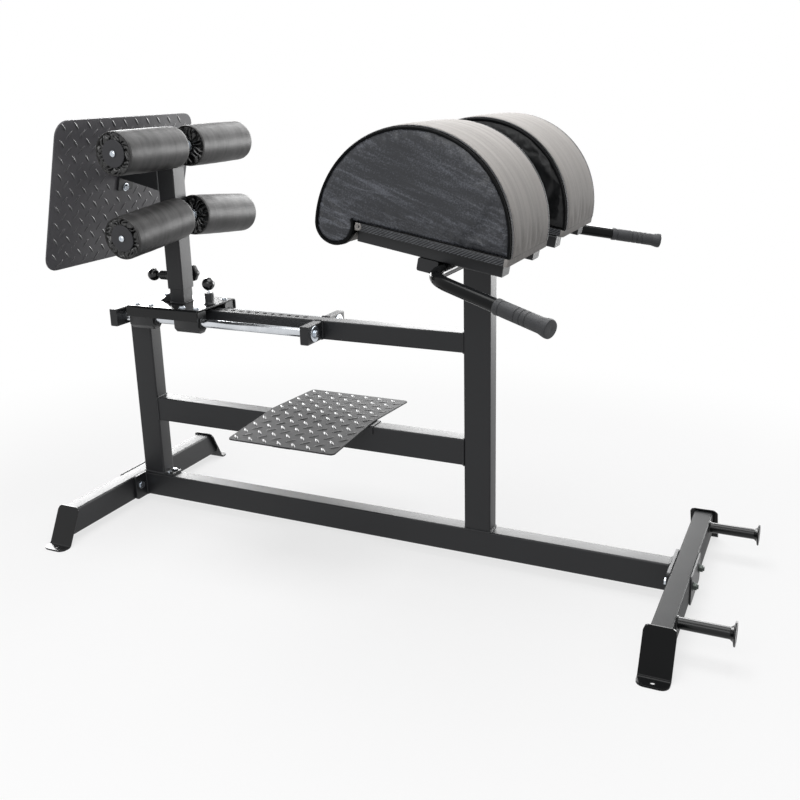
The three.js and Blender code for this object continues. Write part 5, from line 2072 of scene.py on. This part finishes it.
@dataclass(frozen=True)
class Lamp:
    """A soft lamp that the camera doesn't see, or a card that shows only in gloss."""

    name: str
    place: Triple
    target: Triple
    size: tuple[float, float]
    power: float
    lights: bool = True

    def build(self) -> None:
        """Puts the lamp in, looking at its target."""
        data = bpy.data.lights.new(self.name, "AREA")
        data.shape = "RECTANGLE"
        data.size, data.size_y, data.energy = *self.size, self.power
        lamp = bpy.data.objects.new(self.name, data)
        lamp.visible_camera, lamp.visible_diffuse = False, self.lights
        facing = (Vector(self.target) - Vector(self.place)).to_track_quat("-Z", "Y").to_matrix().to_4x4()
        lamp.matrix_world = Matrix.Translation(self.place) @ facing
        bpy.context.scene.collection.objects.link(lamp)


@dataclass
class Studio:
    """Plain pale floor, soft light and the photograph's camera."""

    eye: Triple = (1976.74, -2287.69, 1279.22)
    yaw: float = math.radians(25.10)
    pitch: float = math.radians(16.04)
    roll: float = math.radians(-1.38)
    lens: float = 43.48
    shift_x: float = -0.0022
    shift_y: float = -0.0485
    sky: float = 0.3
    floor_glow: float = 0.72
    floor_half: float = 30.0
    lamps: tuple[Lamp, ...] = (
        Lamp("top_lamp", (0.0, 0.2, 3.5), (0.0, 0.0, 0.5), (2.8, 2.4), 90.0),
        Lamp("front_lamp", (0.5, -3.2, 2.8), (0.1, 0.0, 0.7), (2.4, 1.6), 36.0),
        Lamp("back_card", (-0.9, 4.6, 2.3), (0.0, 0.0, 0.4), (2.8, 3.0), 240.0, False),
        Lamp("left_card", (-6.4, 4.6, 2.3), (-0.6, 0.0, 0.4), (3.8, 3.4), 620.0, False),
        Lamp("right_card", (2.2, 4.0, 0.9), (0.2, 0.0, 0.6), (2.6, 1.7), 200.0, False))

    def build(self) -> None:
        """Builds camera, light and floor."""
        self.camera()
        self.world()
        for lamp in self.lamps:
            lamp.build()
        self.floor()

    def camera(self) -> None:
        """Places the camera at the photograph's viewpoint."""
        yaw, pitch, roll = self.yaw, self.pitch, self.roll
        ahead = Vector((-math.sin(yaw) * math.cos(pitch), math.cos(yaw) * math.cos(pitch), -math.sin(pitch)))
        level = Vector((math.cos(yaw), math.sin(yaw), 0.0))
        above = level.cross(ahead)
        right = level * math.cos(roll) + above * math.sin(roll)
        top = -level * math.sin(roll) + above * math.cos(roll)
        data = bpy.data.cameras.new("camera")
        data.lens, data.sensor_width = self.lens, 36.0
        data.shift_x, data.shift_y = self.shift_x, self.shift_y
        camera = bpy.data.objects.new("camera", data)
        columns = Matrix((right, top, -ahead)).transposed().to_4x4()
        camera.matrix_world = Matrix.Translation((np.array(self.eye) + DRAWING_SHIFT) * METRE) @ columns
        bpy.context.scene.collection.objects.link(camera)
        bpy.context.scene.camera = camera

    def world(self) -> None:
        """A white backdrop for the camera and for reflections, and a softer sky as light."""
        shader = Shader("studio", bpy.data.worlds)
        bpy.context.scene.world = shader.material
        strength = shader.seen() * (1.0 - self.sky) + self.sky
        surface = shader.node("ShaderNodeBackground", {}, {"Color": WHITE, "Strength": strength})
        shader.node_output(surface, "ShaderNodeOutputWorld")

    def floor(self) -> None:
        """A wide floor that takes the shadow near the machine and fades to white further out."""
        half = self.floor_half
        corners = [(-half, -half, 0), (half, -half, 0), (half, half, 0), (-half, half, 0)]
        mesh = bpy.data.meshes.new("floor")
        mesh.from_pydata(corners, [], [(0, 1, 2, 3)])
        shader = Shader("pale_floor")
        spot = shader.place((0.8, 1.0, 0.0))
        away = shader.node("ShaderNodeVectorMath", {"operation": "LENGTH"}, {0: spot}, "Value")
        plain = shader.node("ShaderNodeBsdfDiffuse", {}, {"Color": (0.88, 0.88, 0.885, 1.0)}, "BSDF")
        glow = shader.seen() * 0.8 + 0.2
        white = shader.node("ShaderNodeEmission", {}, {"Color": WHITE, "Strength": glow}, "Emission")
        share = away.between(0.9, 2.0) * (1.0 - self.floor_glow) + self.floor_glow
        mixed = shader.node("ShaderNodeMixShader", {}, {0: share, 1: plain, 2: white}, "Shader")
        shader.node_output(mixed)
        mesh.materials.append(shader.material)
        floor = bpy.data.objects.new("floor", mesh)
        bpy.context.scene.collection.objects.link(floor)


def main() -> None:
    """Builds the scene."""
    logging.basicConfig(level=logging.INFO, format="%(name)s %(message)s")
    bpy.context.scene.view_settings.view_transform = "Standard"
    Studio().build()
    for assembly in (Chassis(), StepPlate(), GuideRods(), Carriage(), Mast(), AnkleRollers(), PadDeck()):
        assembly.build()


if __name__ == "__main__":
    main()
